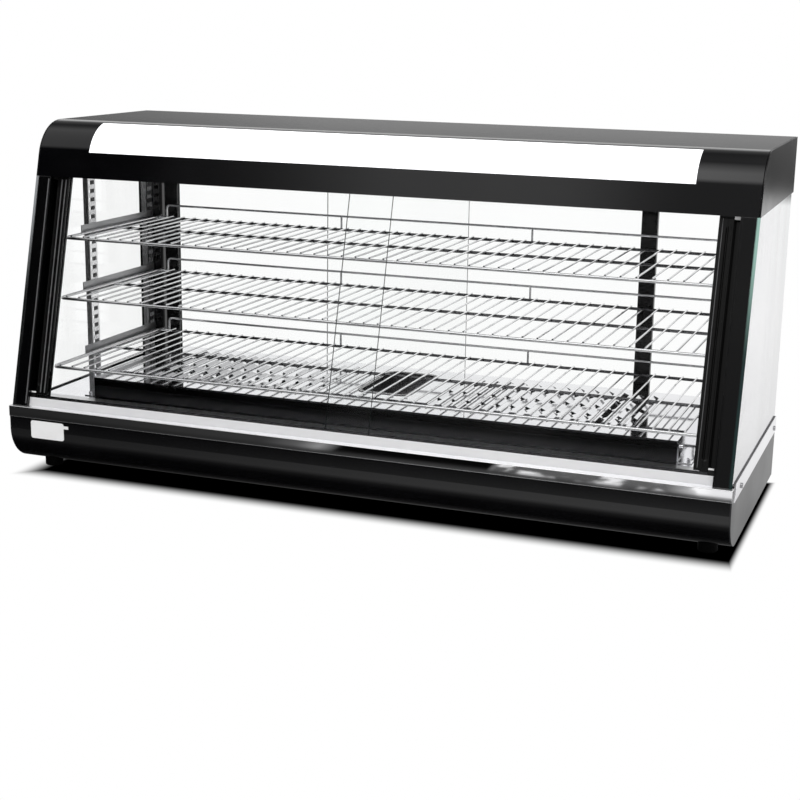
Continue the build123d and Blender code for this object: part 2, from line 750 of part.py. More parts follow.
def door(way, side, pane, half, overlap, handle_width, slide):
    """One sliding door: the glass, and the handle on its outer end."""
    outer_x = side * half + slide
    inner_x = -side * overlap / 2 + slide
    depth = way.pane_depth(pane)
    near, far = depth - DOOR_GLASS / 2, depth + DOOR_GLASS / 2
    low = way.floor + RUN_GAP
    high = way.web - LIFT_ROOM
    glass_end_x = outer_x - side * HANDLE_END_WALL
    with BuildPart() as glass:
        with BuildSketch(way.at(inner_x)):
            with Locations(way.centre(near, far, low, high)):
                Rectangle(DOOR_GLASS, high - low)
        extrude(amount=glass_end_x - inner_x)

    handle_near = depth - HANDLE_THICKNESS / 2
    handle_far = depth + HANDLE_THICKNESS / 2
    handle_low = way.wall_top(2) + HANDLE_GAP
    handle_high = way.head + handle_near * way.lean_tan - HANDLE_GAP
    groove_x = outer_x - side * (FINGER_GROOVE_INSET + FINGER_GROOVE_WIDTH / 2)
    groove_length = handle_high - handle_low - 2 * FINGER_GROOVE_MARGIN
    with BuildPart() as handle:
        with BuildSketch(way.at(outer_x)):
            with Locations(way.centre(handle_near, handle_far, handle_low, handle_high)):
                Rectangle(HANDLE_THICKNESS, handle_high - handle_low)
        extrude(amount=-side * handle_width)
        fillet(handle.edges().filter_by(way.up), radius=HANDLE_EDGE)
        with BuildSketch(way.at(glass_end_x)):
            with Locations(way.centre(near, far, handle_low, handle_high)):
                Rectangle(DOOR_GLASS, handle_high - handle_low)
        extrude(amount=-side * handle_width, mode=Mode.SUBTRACT)
        with BuildSketch(way.face(groove_x, handle_near, (handle_low + handle_high) / 2)):
            SlotOverall(groove_length, FINGER_GROOVE_WIDTH)
        extrude(amount=-FINGER_GROOVE_DEPTH, mode=Mode.SUBTRACT)
    return glass, handle


# At the front the left door runs outside; at the back the right one inside
door_sets = (
    ("front_door_left", front_way, -1, 0, front_half, FRONT_OVERLAP, FRONT_HANDLE_WIDTH, 0),
    ("front_door_right", front_way, 1, 1, front_half, FRONT_OVERLAP, FRONT_HANDLE_WIDTH, 0),
    ("rear_door_left", rear_way, -1, 0, rear_half, REAR_OVERLAP, REAR_HANDLE_WIDTH, 0),
    ("rear_door_right", rear_way, 1, 1, rear_half, REAR_OVERLAP, REAR_HANDLE_WIDTH, -REAR_RIGHT_OPEN),
)
for name, way, side, pane, half, overlap, handle_width, slide in door_sets:
    glass, handle = door(way, side, pane, half, overlap, handle_width, slide)
    glass.part.label = f"{name}_glass"
    export_step(glass.part, f"parts/{name}_glass.step")
    handle.part.label = f"{name}_handle"
    export_step(handle.part, f"parts/{name}_handle.step")

# Hood outline: up the slope, round the front curve and back along the top
curve_run = (HOOD_HEIGHT - HOOD_RADIUS * (1 - SLOPE_SIN)) / SLOPE_COS
CURVE_Y = SLOPE_TOP_Y + curve_run * SLOPE_SIN + HOOD_RADIUS * SLOPE_COS
CURVE_Z = HOOD_TOP - HOOD_RADIUS


def on_curve(radius, angle):
    """Point (y, z) on the hood's front curve; the angle rises from the front."""
    return (CURVE_Y - radius * cos(radians(angle)), CURVE_Z + radius * sin(radians(angle)))


def curve_sector(outer, inner, low_angle, high_angle):
    """Closed outline of a curved strip, as lines in the current builder."""
    middle = (low_angle + high_angle) / 2
    ThreePointArc(on_curve(outer, low_angle), on_curve(outer, middle), on_curve(outer, high_angle))
    Line(on_curve(outer, high_angle), on_curve(inner, high_angle))
    ThreePointArc(on_curve(inner, high_angle), on_curve(inner, middle), on_curve(inner, low_angle))
    Line(on_curve(inner, low_angle), on_curve(outer, low_angle))


sign_fit_angle = FIT / HOOD_RADIUS / radians(1)
return_end_y = SLOPE_TOP_Y + FRONT_TRACK_INSET / SLOPE_COS - FIT
skin_half = HOOD_INNER_X - HOOD_SEAM
with BuildPart() as hood_shell:
    with BuildSketch(Plane.YZ):
        with BuildLine():
            inner_radius = HOOD_RADIUS - HOOD_SHEET
            outer_low = on_curve(HOOD_RADIUS, FRONT_LEAN)
            inner_low = on_curve(inner_radius, FRONT_LEAN)
            curve_middle = (FRONT_LEAN + 90) / 2
            fold_y = SLOPE_TOP_Y + HOOD_SHEET / SLOPE_COS + HOOD_SHEET * SLOPE_TAN
            Polyline((return_end_y, HOOD_BOTTOM), (SLOPE_TOP_Y, HOOD_BOTTOM), outer_low)
            ThreePointArc(outer_low, on_curve(HOOD_RADIUS, curve_middle), (CURVE_Y, HOOD_TOP))
            Polyline(
                (CURVE_Y, HOOD_TOP),
                (HOOD_REAR_Y, HOOD_TOP),
                (HOOD_REAR_Y, HOOD_TOP - HOOD_SHEET),
                (CURVE_Y, HOOD_TOP - HOOD_SHEET),
            )
            ThreePointArc(
                (CURVE_Y, HOOD_TOP - HOOD_SHEET), on_curve(inner_radius, curve_middle), inner_low
            )
            Polyline(
                inner_low,
                (fold_y, HOOD_BOTTOM + HOOD_SHEET),
                (return_end_y, HOOD_BOTTOM + HOOD_SHEET),
                (return_end_y, HOOD_BOTTOM),
            )
        make_face()
    extrude(amount=skin_half, both=True)
    with BuildSketch(Plane.YZ):
        with BuildLine():
            curve_sector(
                HOOD_RADIUS + HOOD_SHEET,
                HOOD_RADIUS - 2 * HOOD_SHEET,
                SIGN_LOW_ANGLE - sign_fit_angle,
                SIGN_HIGH_ANGLE + sign_fit_angle,
            )
        make_face()
    extrude(amount=SIGN_LENGTH / 2 + FIT, both=True, mode=Mode.SUBTRACT)
hood_shell.part.label = "hood_shell"
export_step(hood_shell.part, "parts/hood_shell.step")

# Sign panel: flush in the window, with a rim behind the skin
rim_angle = SIGN_RIM / HOOD_RADIUS / radians(1)
rim_outer = HOOD_RADIUS - HOOD_SHEET - SIGN_GAP
with BuildPart() as sign_panel:
    with BuildSketch(Plane.YZ):
        with BuildLine():
            curve_sector(
                HOOD_RADIUS, HOOD_RADIUS - SIGN_THICKNESS, SIGN_LOW_ANGLE, SIGN_HIGH_ANGLE
            )
        make_face()
    extrude(amount=SIGN_LENGTH / 2, both=True)
    with BuildSketch(Plane.YZ):
        with BuildLine():
            curve_sector(
                rim_outer,
                rim_outer - SIGN_RIM_THICKNESS,
                SIGN_LOW_ANGLE - rim_angle,
                SIGN_HIGH_ANGLE + rim_angle,
            )
        make_face()
    extrude(amount=SIGN_LENGTH / 2 + SIGN_RIM, both=True)
sign_panel.part.label = "sign_panel"
export_step(sign_panel.part, "parts/sign_panel.step")

# End plates, floor and rear wall of the hood
with BuildPart() as hood_ends:
    with BuildSketch(Plane.YZ.offset(HOOD_INNER_X)):
        with BuildLine():
            outer_low = on_curve(HOOD_RADIUS, FRONT_LEAN)
            Polyline((SLOPE_TOP_Y, HOOD_BOTTOM), outer_low)
            ThreePointArc(outer_low, on_curve(HOOD_RADIUS, curve_middle), (CURVE_Y, HOOD_TOP))
            Polyline(
                (CURVE_Y, HOOD_TOP),
                (HOOD_REAR_Y, HOOD_TOP),
                (HOOD_REAR_Y, HOOD_BOTTOM),
                (SLOPE_TOP_Y, HOOD_BOTTOM),
            )
        make_face()
    extrude(amount=PLATE_INNER_X - HOOD_INNER_X)
    mirror(about=Plane.YZ)
hood_ends.part.label = "hood_ends"
export_step(hood_ends.part, "parts/hood_ends.step")

track_back_y = SLOPE_TOP_Y + front_way.track_back / SLOPE_COS + HOOD_SHEET * SLOPE_TAN
floor_front_y = track_back_y + FIT
floor_rear_y = HOOD_REAR_Y - HOOD_SHEET
track_slot_y = BASE_REAR_Y - REAR_TRACK_INSET - TRACK_DEPTH / 2
with BuildPart() as hood_floor:
    with BuildSketch(Plane.XY.offset(HOOD_BOTTOM)):
        with Locations((0, (floor_front_y + floor_rear_y) / 2)):
            Rectangle(2 * HOOD_INNER_X, floor_rear_y - floor_front_y)
        with Locations((0, track_slot_y)):
            Rectangle(2 * REAR_POST_INNER_X, TRACK_DEPTH + 2 * FIT, mode=Mode.SUBTRACT)
    extrude(amount=HOOD_SHEET)
hood_floor.part.label = "hood_floor"
export_step(hood_floor.part, "parts/hood_floor.step")

with BuildPart() as hood_back:
    with BuildSketch(Plane.XZ.offset(-HOOD_REAR_Y)):
        with Locations((0, (HOOD_BOTTOM + HOOD_TOP - HOOD_SHEET) / 2)):
            Rectangle(2 * HOOD_INNER_X, HOOD_HEIGHT - HOOD_SHEET)
    extrude(amount=HOOD_SHEET)
hood_back.part.label = "hood_back"
export_step(hood_back.part, "parts/hood_back.step")

# Lamp behind the sign, between two holders on the hood's floor
lamp_y = CURVE_Y - LAMP_BACK
lamp_z = HOOD_BOTTOM + LAMP_RISE
pin_spots = [(lamp_y + side * LAMP_PIN_OFFSET, lamp_z) for side in (-1, 1)]
with BuildPart() as lamp_tube:
    with BuildSketch(Plane.YZ):
        with Locations((lamp_y, lamp_z)):
            Circle(LAMP_RADIUS)
    extrude(amount=LAMP_LENGTH / 2, both=True)
    with BuildSketch(Plane.YZ):
        with Locations(pin_spots):
            Circle(LAMP_PIN_RADIUS)
    extrude(amount=LAMP_LENGTH / 2 + LAMP_PIN_LENGTH, both=True)
lamp_tube.part.label = "lamp_tube"
export_step(lamp_tube.part, "parts/lamp_tube.step")

with BuildPart() as lamp_holders:
    with BuildSketch(Plane.YZ.offset(LAMP_LENGTH / 2)):
        with Locations((lamp_y, (HOOD_BOTTOM + HOOD_SHEET + lamp_z + HOLDER_TOP) / 2)):
            RectangleRounded(HOLDER_WIDTH, LAMP_RISE - HOOD_SHEET + HOLDER_TOP, HOLDER_CORNER)
        with Locations(pin_spots):
            Circle(LAMP_PIN_RADIUS + SHAFT_GAP, mode=Mode.SUBTRACT)
    extrude(amount=HOLDER_THICKNESS)
    mirror(about=Plane.YZ)
lamp_holders.part.label = "lamp_holders"
export_step(lamp_holders.part, "parts/lamp_holders.step")

with BuildPart() as lamp_ballast:
    with Locations((0, floor_front_y + BALLAST_SETBACK, HOOD_BOTTOM + HOOD_SHEET)):
        Box(
            BALLAST_LENGTH,
            BALLAST_WIDTH,
            BALLAST_HEIGHT,
            align=(Align.CENTER, Align.CENTER, Align.MIN),
        )
    fillet(lamp_ballast.edges().filter_by(Axis.X).group_by(Axis.Z)[-1], radius=BALLAST_EDGE)
lamp_ballast.part.label = "lamp_ballast"
export_step(lamp_ballast.part, "parts/lamp_ballast.step")

# Slotted uprights: channels open towards the glass
slot_count = int((OPENING_HEIGHT - FIRST_SLOT_RISE) // SLOT_PITCH) + 1
slot_levels = [SILL_TOP + FIRST_SLOT_RISE + index * SLOT_PITCH for index in range(slot_count)]
with BuildPart() as uprights:
    for y in (FRONT_UPRIGHT_Y, REAR_UPRIGHT_Y):
        with BuildSketch(Plane.XY.offset(SILL_TOP)):
            with Locations((UPRIGHT_INNER_X + UPRIGHT_DEPTH / 2, y)):
                Rectangle(UPRIGHT_DEPTH, UPRIGHT_WIDTH)
            with Locations((UPRIGHT_INNER_X + UPRIGHT_SHEET + UPRIGHT_DEPTH / 2, y)):
                Rectangle(UPRIGHT_DEPTH, UPRIGHT_WIDTH - 2 * UPRIGHT_SHEET, mode=Mode.SUBTRACT)
        extrude(amount=OPENING_HEIGHT)
        with BuildSketch(Plane.YZ.offset(UPRIGHT_INNER_X)):
            with Locations([(y, level) for level in slot_levels]):
                Rectangle(SLOT_WIDTH, SLOT_HEIGHT)
        extrude(amount=UPRIGHT_SHEET, mode=Mode.SUBTRACT)
    mirror(about=Plane.YZ)
uprights.part.label = "uprights"
export_step(uprights.part, "parts/uprights.step")

# Shelf rails: angle strips hooked into the nearest slots
rail_front_y = FRONT_UPRIGHT_Y - UPRIGHT_WIDTH / 2 - RAIL_FRONT_OVERHANG
rail_rear_y = BASE_REAR_Y - RAIL_REAR_INSET
rail_length = rail_rear_y - rail_front_y
rail_bottoms = [SILL_TOP + top - RAIL_HEIGHT for top in RAIL_TOPS]
with BuildPart() as shelf_rails:
    for bottom in rail_bottoms:
        with BuildSketch(Plane.XZ.offset(-rail_rear_y)):
            with Locations((UPRIGHT_INNER_X, bottom)):
                Rectangle(RAIL_SHEET, RAIL_HEIGHT, align=(Align.MAX, Align.MIN))
                Rectangle(RAIL_SHEET + RAIL_REACH, RAIL_SHEET, align=(Align.MAX, Align.MIN))
        extrude(amount=rail_length)
        middle = bottom + RAIL_HEIGHT / 2
        tab_level = min(slot_levels, key=lambda level: abs(level - middle))
        with BuildSketch(Plane.YZ.offset(UPRIGHT_INNER_X)):
            with Locations([(y, tab_level) for y in (FRONT_UPRIGHT_Y, REAR_UPRIGHT_Y)]):
                Rectangle(TAB_WIDTH, TAB_HEIGHT)
        extrude(amount=TAB_REACH)
    mirror(about=Plane.YZ)
shelf_rails.part.label = "shelf_rails"
export_step(shelf_rails.part, "parts/shelf_rails.step")

# Wire shelves: a heavy frame wire, a middle wire, cross wires welded on top
# and a fence wire along the back
shelf_half = UPRIGHT_INNER_X - RAIL_SHEET - SHELF_SIDE_GAP
frame_x = shelf_half - FRAME_WIRE / 2
shelf_rear_y = BASE_REAR_Y - SHELF_REAR_INSET - FRAME_WIRE / 2
cross_count = 2 * int((frame_x - SHELF_CORNER) / CROSS_PITCH) + 1
fence_end_x = FENCE_END_STEPS * CROSS_PITCH
fence_stub_x = FENCE_STUB_STEPS * CROSS_PITCH


def shelf_grille(level, front_y):
    """The flat wire grid of a shelf, its frame wire centred on a level."""
    cross_z = level + (FRAME_WIRE + CROSS_WIRE) / 2 - WELD_DEPTH
    cross_end_y = shelf_rear_y + FRAME_WIRE / 2
    with BuildPart() as cross_wire:
        with BuildSketch(Plane.XZ.offset(-cross_end_y)):
            with Locations((0, cross_z)):
                Circle(CROSS_WIRE / 2)
        extrude(amount=cross_end_y - front_y)
    with BuildPart() as grille:
        with BuildLine(Plane.XY.offset(level)):
            FilletPolyline(
                (0, front_y),
                (frame_x, front_y),
                (frame_x, shelf_rear_y),
                (0, shelf_rear_y),
                radius=SHELF_CORNER,
            )
        with BuildSketch(Plane.YZ):
            with Locations((front_y, level)):
                Circle(FRAME_WIRE / 2)
        sweep()
        mirror(about=Plane.YZ)
        with BuildSketch(Plane.YZ):
            with Locations(((front_y + shelf_rear_y) / 2, level)):
                Circle(FRAME_WIRE / 2)
        extrude(amount=frame_x, both=True)
        with GridLocations(CROSS_PITCH, 1, cross_count, 1):
            add(cross_wire.part)
    return grille


def shelf_fence(level):
    """The wire along the back of a shelf, with four feet on the frame wire."""
    foot_z = level + FRAME_WIRE / 2
    rail_z = level + FENCE_RISE
    with BuildPart() as fence:
        with BuildLine(Plane.XZ.offset(-shelf_rear_y)):
            FilletPolyline(
                (-fence_end_x, foot_z),
                (-fence_end_x, rail_z),
                (fence_end_x, rail_z),
                (fence_end_x, foot_z),
                radius=FENCE_CORNER,
            )
        with BuildSketch(Plane.XY.offset(foot_z)):
            with Locations((-fence_end_x, shelf_rear_y)):
                Circle(FENCE_WIRE / 2)
        sweep()
        with BuildSketch(Plane.XY.offset(foot_z)):
            with Locations((-fence_stub_x, shelf_rear_y), (fence_stub_x, shelf_rear_y)):
                Circle(FENCE_WIRE / 2)
        extrude(amount=rail_z - foot_z)
    return fence


shelf_names = ("shelf_top", "shelf_middle", "shelf_bottom")
for name, bottom, setback in zip(shelf_names, rail_bottoms, SHELF_SETBACKS):
    level = bottom + RAIL_SHEET + RUN_GAP + FRAME_WIRE / 2
    grille = shelf_grille(level, FRONT_Y + setback + FRAME_WIRE / 2)
    grille.part.label = name
    export_step(grille.part, f"parts/{name}.step")
    fence = shelf_fence(level)
    fence.part.label = f"{name}_fence"
    export_step(fence.part, f"parts/{name}_fence.step")

# Heater cover: a low box with slots, louvres and the tray's window
cover_middle_y = (COVER_FRONT_Y + COVER_REAR_Y) / 2
cover_depth = COVER_REAR_Y - COVER_FRONT_Y
field_spans = (
    (-COVER_HALF + LOUVRE_OUTER_MARGIN, tray_edges[0] - LOUVRE_INNER_MARGIN),
    (tray_edges[1] + LOUVRE_INNER_MARGIN, COVER_HALF - LOUVRE_OUTER_MARGIN),
)
louvre_spots = []
for low_x, high_x in field_spans:
    columns = int((high_x - low_x) / LOUVRE_PITCH)
    for column in range(columns):
        for row in range(LOUVRE_ROWS):
            louvre_x = (low_x + high_x) / 2 + (column - (columns - 1) / 2) * LOUVRE_PITCH
            louvre_y = cover_middle_y + (row - (LOUVRE_ROWS - 1) / 2) * LOUVRE_ROW_PITCH
            louvre_spots.append((louvre_x, louvre_y))
with BuildPart() as heater_cover:
    with Locations((0, cover_middle_y, SILL_TOP)):
        Box(
            2 * COVER_HALF,
            cover_depth,
            COVER_HEIGHT,
            align=(Align.CENTER, Align.CENTER, Align.MIN),
        )
        Box(
            2 * (COVER_HALF - COVER_SHEET),
            cover_depth - 2 * COVER_SHEET,
            COVER_HEIGHT - COVER_SHEET,
            align=(Align.CENTER, Align.CENTER, Align.MIN),
            mode=Mode.SUBTRACT,
        )
    with BuildSketch(Plane.XY.offset(COVER_TOP - COVER_SHEET)):
        with Locations((TRAY_CENTRE_X, TRAY_CENTRE_Y)):
            RectangleRounded(TRAY_WIDTH + 2 * FIT, TRAY_LENGTH + 2 * FIT, TRAY_CORNER + FIT)
        with Locations((TRAY_CENTRE_X, TRAY_CENTRE_Y - TRAY_LENGTH / 2 - DRAIN_HOLE_SETBACK)):
            with GridLocations(LOUVRE_PITCH, 1, DRAIN_HOLE_COUNT, 1):
                Circle(DRAIN_HOLE_RADIUS)
        with Locations([(x - LOUVRE_WIDTH / 2 - LOUVRE_SLIT / 2, y) for x, y in louvre_spots]):
            Rectangle(LOUVRE_SLIT, LOUVRE_LENGTH)
    extrude(amount=COVER_SHEET, mode=Mode.SUBTRACT)
    with BuildSketch(Plane.XZ) as louvre_section:
        with BuildLine():
            Polyline(
                (-LOUVRE_WIDTH / 2, 0),
                (LOUVRE_WIDTH / 2, 0),
                (-LOUVRE_WIDTH / 2, LOUVRE_HEIGHT),
                close=True,
            )
        make_face()
    extrude(
        [
            louvre_section.sketch.faces()[0].moved(Location((x, y, COVER_TOP)))
            for x, y in louvre_spots
        ],
        amount=LOUVRE_LENGTH / 2,
        both=True,
    )
heater_cover.part.label = "heater_cover"
export_step(heater_cover.part, "parts/heater_cover.step")

# Water tray: hangs in the window by its rim
with BuildPart() as water_tray:
    with BuildSketch(Plane.XY.offset(COVER_TOP - TRAY_DEPTH)):
        with Locations((TRAY_CENTRE_X, TRAY_CENTRE_Y)):
            RectangleRounded(TRAY_WIDTH, TRAY_LENGTH, TRAY_CORNER)
    extrude(amount=TRAY_DEPTH + TRAY_SHEET)
    with BuildSketch(Plane.XY.offset(COVER_TOP)):
        with Locations((TRAY_CENTRE_X, TRAY_CENTRE_Y)):
            RectangleRounded(TRAY_WIDTH + 2 * TRAY_RIM, TRAY_LENGTH + 2 * TRAY_RIM, TRAY_CORNER + TRAY_RIM)
    extrude(amount=TRAY_SHEET)
    with BuildSketch(Plane.XY.offset(COVER_TOP - TRAY_DEPTH + TRAY_SHEET)):
        with Locations((TRAY_CENTRE_X, TRAY_CENTRE_Y)):
            RectangleRounded(
                TRAY_WIDTH - 2 * TRAY_SHEET, TRAY_LENGTH - 2 * TRAY_SHEET, TRAY_CORNER - TRAY_SHEET
            )
    extrude(amount=TRAY_DEPTH, mode=Mode.SUBTRACT)
water_tray.part.label = "water_tray"
export_step(water_tray.part, "parts/water_tray.step")

# Clips that hold the cover's ends to the deck, each with a stud
clip_y = COVER_FRONT_Y + CLIP_SETBACK + CLIP_WIDTH / 2
with BuildPart() as cover_clips:
    with BuildSketch(Plane.XZ.offset(-clip_y)):
        with Locations((COVER_HALF, SILL_TOP)):
            Rectangle(CLIP_SHEET, CLIP_HEIGHT, align=(Align.MIN, Align.MIN))
            Rectangle(CLIP_REACH, CLIP_SHEET, align=(Align.MIN, Align.MIN))
    extrude(amount=CLIP_WIDTH / 2, both=True)
    with BuildSketch(Plane.YZ.offset(COVER_HALF + CLIP_SHEET)):
        with Locations((clip_y, SILL_TOP + CLIP_HEIGHT - CLIP_STUD_INSET)):
            Circle(CLIP_STUD_RADIUS)
    extrude(amount=CLIP_STUD_LENGTH)
    with BuildSketch(Plane.XY.offset(SILL_TOP + CLIP_SHEET)):
        with Locations((COVER_HALF + CLIP_REACH - CLIP_STUD_INSET, clip_y)):
            Circle(CLIP_STUD_RADIUS)
    extrude(amount=CLIP_STUD_LENGTH)
    mirror(about=Plane.YZ)
cover_clips.part.label = "cover_clips"
export_step(cover_clips.part, "parts/cover_clips.step")

# Tubular heater: one loop on each side of the tray
with BuildPart() as heating_elements:
    for end_x, side in ((sheath_ends[0], -1), (sheath_ends[1], 1)):
        far_x = side * (COVER_HALF - ELEMENT_OUTER_GAP)
        turn = ELEMENT_SPREAD / 2 - FIT
        with BuildLine():
            FilletPolyline(
                (end_x, sheath_rows[0], SILL_TOP - ELEMENT_DIP),
                (end_x, sheath_rows[0], ELEMENT_Z),
                (far_x, sheath_rows[0], ELEMENT_Z),
                (far_x, sheath_rows[1], ELEMENT_Z),
                (end_x, sheath_rows[1], ELEMENT_Z),
                (end_x, sheath_rows[1], SILL_TOP - ELEMENT_DIP),
                radius=[ELEMENT_BEND, turn, turn, ELEMENT_BEND],
            )
        with BuildSketch(Plane.XY.offset(SILL_TOP - ELEMENT_DIP)):
            with Locations((end_x, sheath_rows[0])):
                Circle(ELEMENT_RADIUS)
        sweep()
heating_elements.part.label = "heating_elements"
export_step(heating_elements.part, "parts/heating_elements.step")

# Saddles on the deck that hold the heater up
with BuildPart() as element_brackets:
    saddle_xs = [sheath_ends[0] - BRACKET_INSET, sheath_ends[1] + BRACKET_INSET]
    bend_x = COVER_HALF - ELEMENT_OUTER_GAP - ELEMENT_SPREAD / 2
    saddle_xs += [side * (bend_x - BRACKET_BEND_GAP) for side in (-1, 1)]
    for x in saddle_xs:
        for y in sheath_rows:
            with BuildSketch(Plane.YZ.offset(x)):
                with Locations((y, SILL_TOP)):
                    Rectangle(
                        BRACKET_WIDTH,
                        ELEMENT_RISE + ELEMENT_RADIUS + BRACKET_TOP,
                        align=(Align.CENTER, Align.MIN),
                    )
                with Locations((y, ELEMENT_Z)):
                    Circle(ELEMENT_RADIUS + SHAFT_GAP, mode=Mode.SUBTRACT)
            extrude(amount=BRACKET_SHEET)
            with BuildSketch(Plane.XY.offset(SILL_TOP)):
                with Locations((x, y)):
                    Rectangle(BRACKET_FOOT, BRACKET_WIDTH, align=(Align.MIN, Align.CENTER))
            extrude(amount=BRACKET_SHEET)
element_brackets.part.label = "element_brackets"
export_step(element_brackets.part, "parts/element_brackets.step")

# Thermostat behind the wall, its shaft through the wall into the knob
with BuildPart() as thermostat_body:
    with Locations((KNOB_X, WALL_INNER_Y, CONTROL_Z)):
        Box(
            THERMOSTAT_WIDTH,
            THERMOSTAT_DEPTH,
            THERMOSTAT_HEIGHT,
            align=(Align.CENTER, Align.MAX, Align.CENTER),
        )
    fillet(thermostat_body.edges().filter_by(Axis.Y), radius=THERMOSTAT_EDGE)
    with BuildSketch(Plane.XZ.offset(-WALL_INNER_Y)):
        with Locations((KNOB_X, CONTROL_Z)):
            Circle(SHAFT_RADIUS)
    extrude(amount=-(SHAFT_LENGTH + BASE_SHEET))
thermostat_body.part.label = "thermostat_body"
export_step(thermostat_body.part, "parts/thermostat_body.step")

knob_y = WALL_FACE_Y + KNOB_STANDOFF
with BuildPart() as thermostat_knob:
    with BuildSketch(Plane.XZ.offset(-knob_y)):
        with Locations((KNOB_X, CONTROL_Z)):
            Circle(KNOB_RADIUS)
    extrude(amount=-KNOB_LENGTH)
    fillet(thermostat_knob.edges().group_by(Axis.Y)[-1], radius=KNOB_EDGE)
    with BuildSketch(Plane.XZ.offset(-knob_y)):
        with Locations((KNOB_X, CONTROL_Z)):
            Circle(SHAFT_RADIUS + SHAFT_GAP)
    extrude(amount=-(SHAFT_LENGTH - KNOB_STANDOFF + FIT), mode=Mode.SUBTRACT)
    with Locations((KNOB_X, knob_y + KNOB_LENGTH, CONTROL_Z)):
        Box(
            KNOB_MARK_WIDTH,
            2 * KNOB_MARK_DEPTH,
            KNOB_RADIUS,
            align=(Align.CENTER, Align.CENTER, Align.MIN),
            mode=Mode.SUBTRACT,
        )
thermostat_knob.part.label = "thermostat_knob"
export_step(thermostat_knob.part, "parts/thermostat_knob.step")

# Rocker switches: a housing clipped into the wall, and the rocker in it
rocker_pivot_y = WALL_FACE_Y + SWITCH_BEZEL_DEPTH - ROCKER_DEPTH / 2
with BuildPart() as switch_housings:
    for x in SWITCH_XS:
        with BuildSketch(Plane.XZ.offset(-WALL_FACE_Y)):
            with Locations((x, CONTROL_Z)):
                RectangleRounded(
                    SWITCH_WIDTH + 2 * SWITCH_BEZEL, SWITCH_HEIGHT + 2 * SWITCH_BEZEL, SWITCH_BEZEL
                )
        extrude(amount=-SWITCH_BEZEL_DEPTH)
        with BuildSketch(Plane.XZ.offset(-WALL_FACE_Y)):
            with Locations((x, CONTROL_Z)):
                Rectangle(SWITCH_WIDTH, SWITCH_HEIGHT)
        extrude(amount=SWITCH_BODY_DEPTH)
        with BuildSketch(Plane.XZ.offset(-(WALL_FACE_Y + SWITCH_BEZEL_DEPTH))):
            with Locations((x, CONTROL_Z)):
                Rectangle(ROCKER_WIDTH + 2 * ROCKER_GAP, ROCKER_HEIGHT + 2 * ROCKER_SWING_GAP)
        extrude(amount=SWITCH_POCKET_DEPTH, mode=Mode.SUBTRACT)
switch_housings.part.label = "switch_housings"
export_step(switch_housings.part, "parts/switch_housings.step")

for x, name in zip(SWITCH_XS, ("heat_switch_rocker", "light_switch_rocker")):
    tilted = Plane(
        origin=(x, rocker_pivot_y, CONTROL_Z),
        x_dir=(0, cos(radians(ROCKER_TILT)), sin(radians(ROCKER_TILT))),
        z_dir=(1, 0, 0),
    )
    nose = ROCKER_DEPTH / 2 + ROCKER_PROUD
    waist = nose - ROCKER_DIP
    with BuildPart() as rocker:
        with BuildSketch(tilted):
            with BuildLine():
                Polyline(
                    (0, -ROCKER_HEIGHT / 2),
                    (nose, -ROCKER_HEIGHT / 2),
                    (waist, 0),
                    (nose, ROCKER_HEIGHT / 2),
                    (0, ROCKER_HEIGHT / 2),
                    (-ROCKER_HEEL, 0),
                    close=True,
                )
            make_face()
        extrude(amount=ROCKER_WIDTH / 2, both=True)
        with BuildSketch(tilted):
            Circle(ROCKER_PIN_RADIUS)
        extrude(amount=ROCKER_WIDTH / 2 + ROCKER_GAP - ROCKER_PIN_GAP, both=True)
    rocker.part.label = name
    export_step(rocker.part, f"parts/{name}.step")

# Indicator lamp and the inlet gland of the power cord
with BuildPart() as indicator_lamp:
    with BuildSketch(Plane.XZ.offset(-(WALL_FACE_Y + INDICATOR_FLANGE_THICKNESS))):
        with Locations((INDICATOR_X, CONTROL_Z)):
            Circle(INDICATOR_FLANGE)
    extrude(amount=INDICATOR_FLANGE_THICKNESS)
    with BuildSketch(Plane.XZ.offset(-(WALL_FACE_Y + INDICATOR_PROUD))):
        with Locations((INDICATOR_X, CONTROL_Z)):
            Circle(INDICATOR_RADIUS)
    extrude(amount=INDICATOR_DEPTH + INDICATOR_PROUD)
    fillet(indicator_lamp.edges().group_by(Axis.Y)[-1], radius=INDICATOR_EDGE)
indicator_lamp.part.label = "indicator_lamp"
export_step(indicator_lamp.part, "parts/indicator_lamp.step")

with BuildPart() as cable_gland:
    with BuildSketch(Plane.XZ.offset(-(WALL_FACE_Y + GLAND_FLANGE))):
        with Locations((GLAND_X, CONTROL_Z)):
            Circle(GLAND_FLANGE_RADIUS)
    extrude(amount=GLAND_FLANGE)
    with BuildSketch(Plane.XZ.offset(-(WALL_FACE_Y + GLAND_PROUD))):
        with Locations((GLAND_X, CONTROL_Z)):
            Circle(GLAND_RADIUS)
    extrude(amount=GLAND_LENGTH)
    with BuildSketch(Plane.XZ.offset(-(WALL_FACE_Y + GLAND_PROUD))):
        with Locations((GLAND_X, CONTROL_Z)):
            Circle(GLAND_BORE)
    extrude(amount=GLAND_LENGTH, mode=Mode.SUBTRACT)
cable_gland.part.label = "cable_gland"
export_step(cable_gland.part, "parts/cable_gland.step")

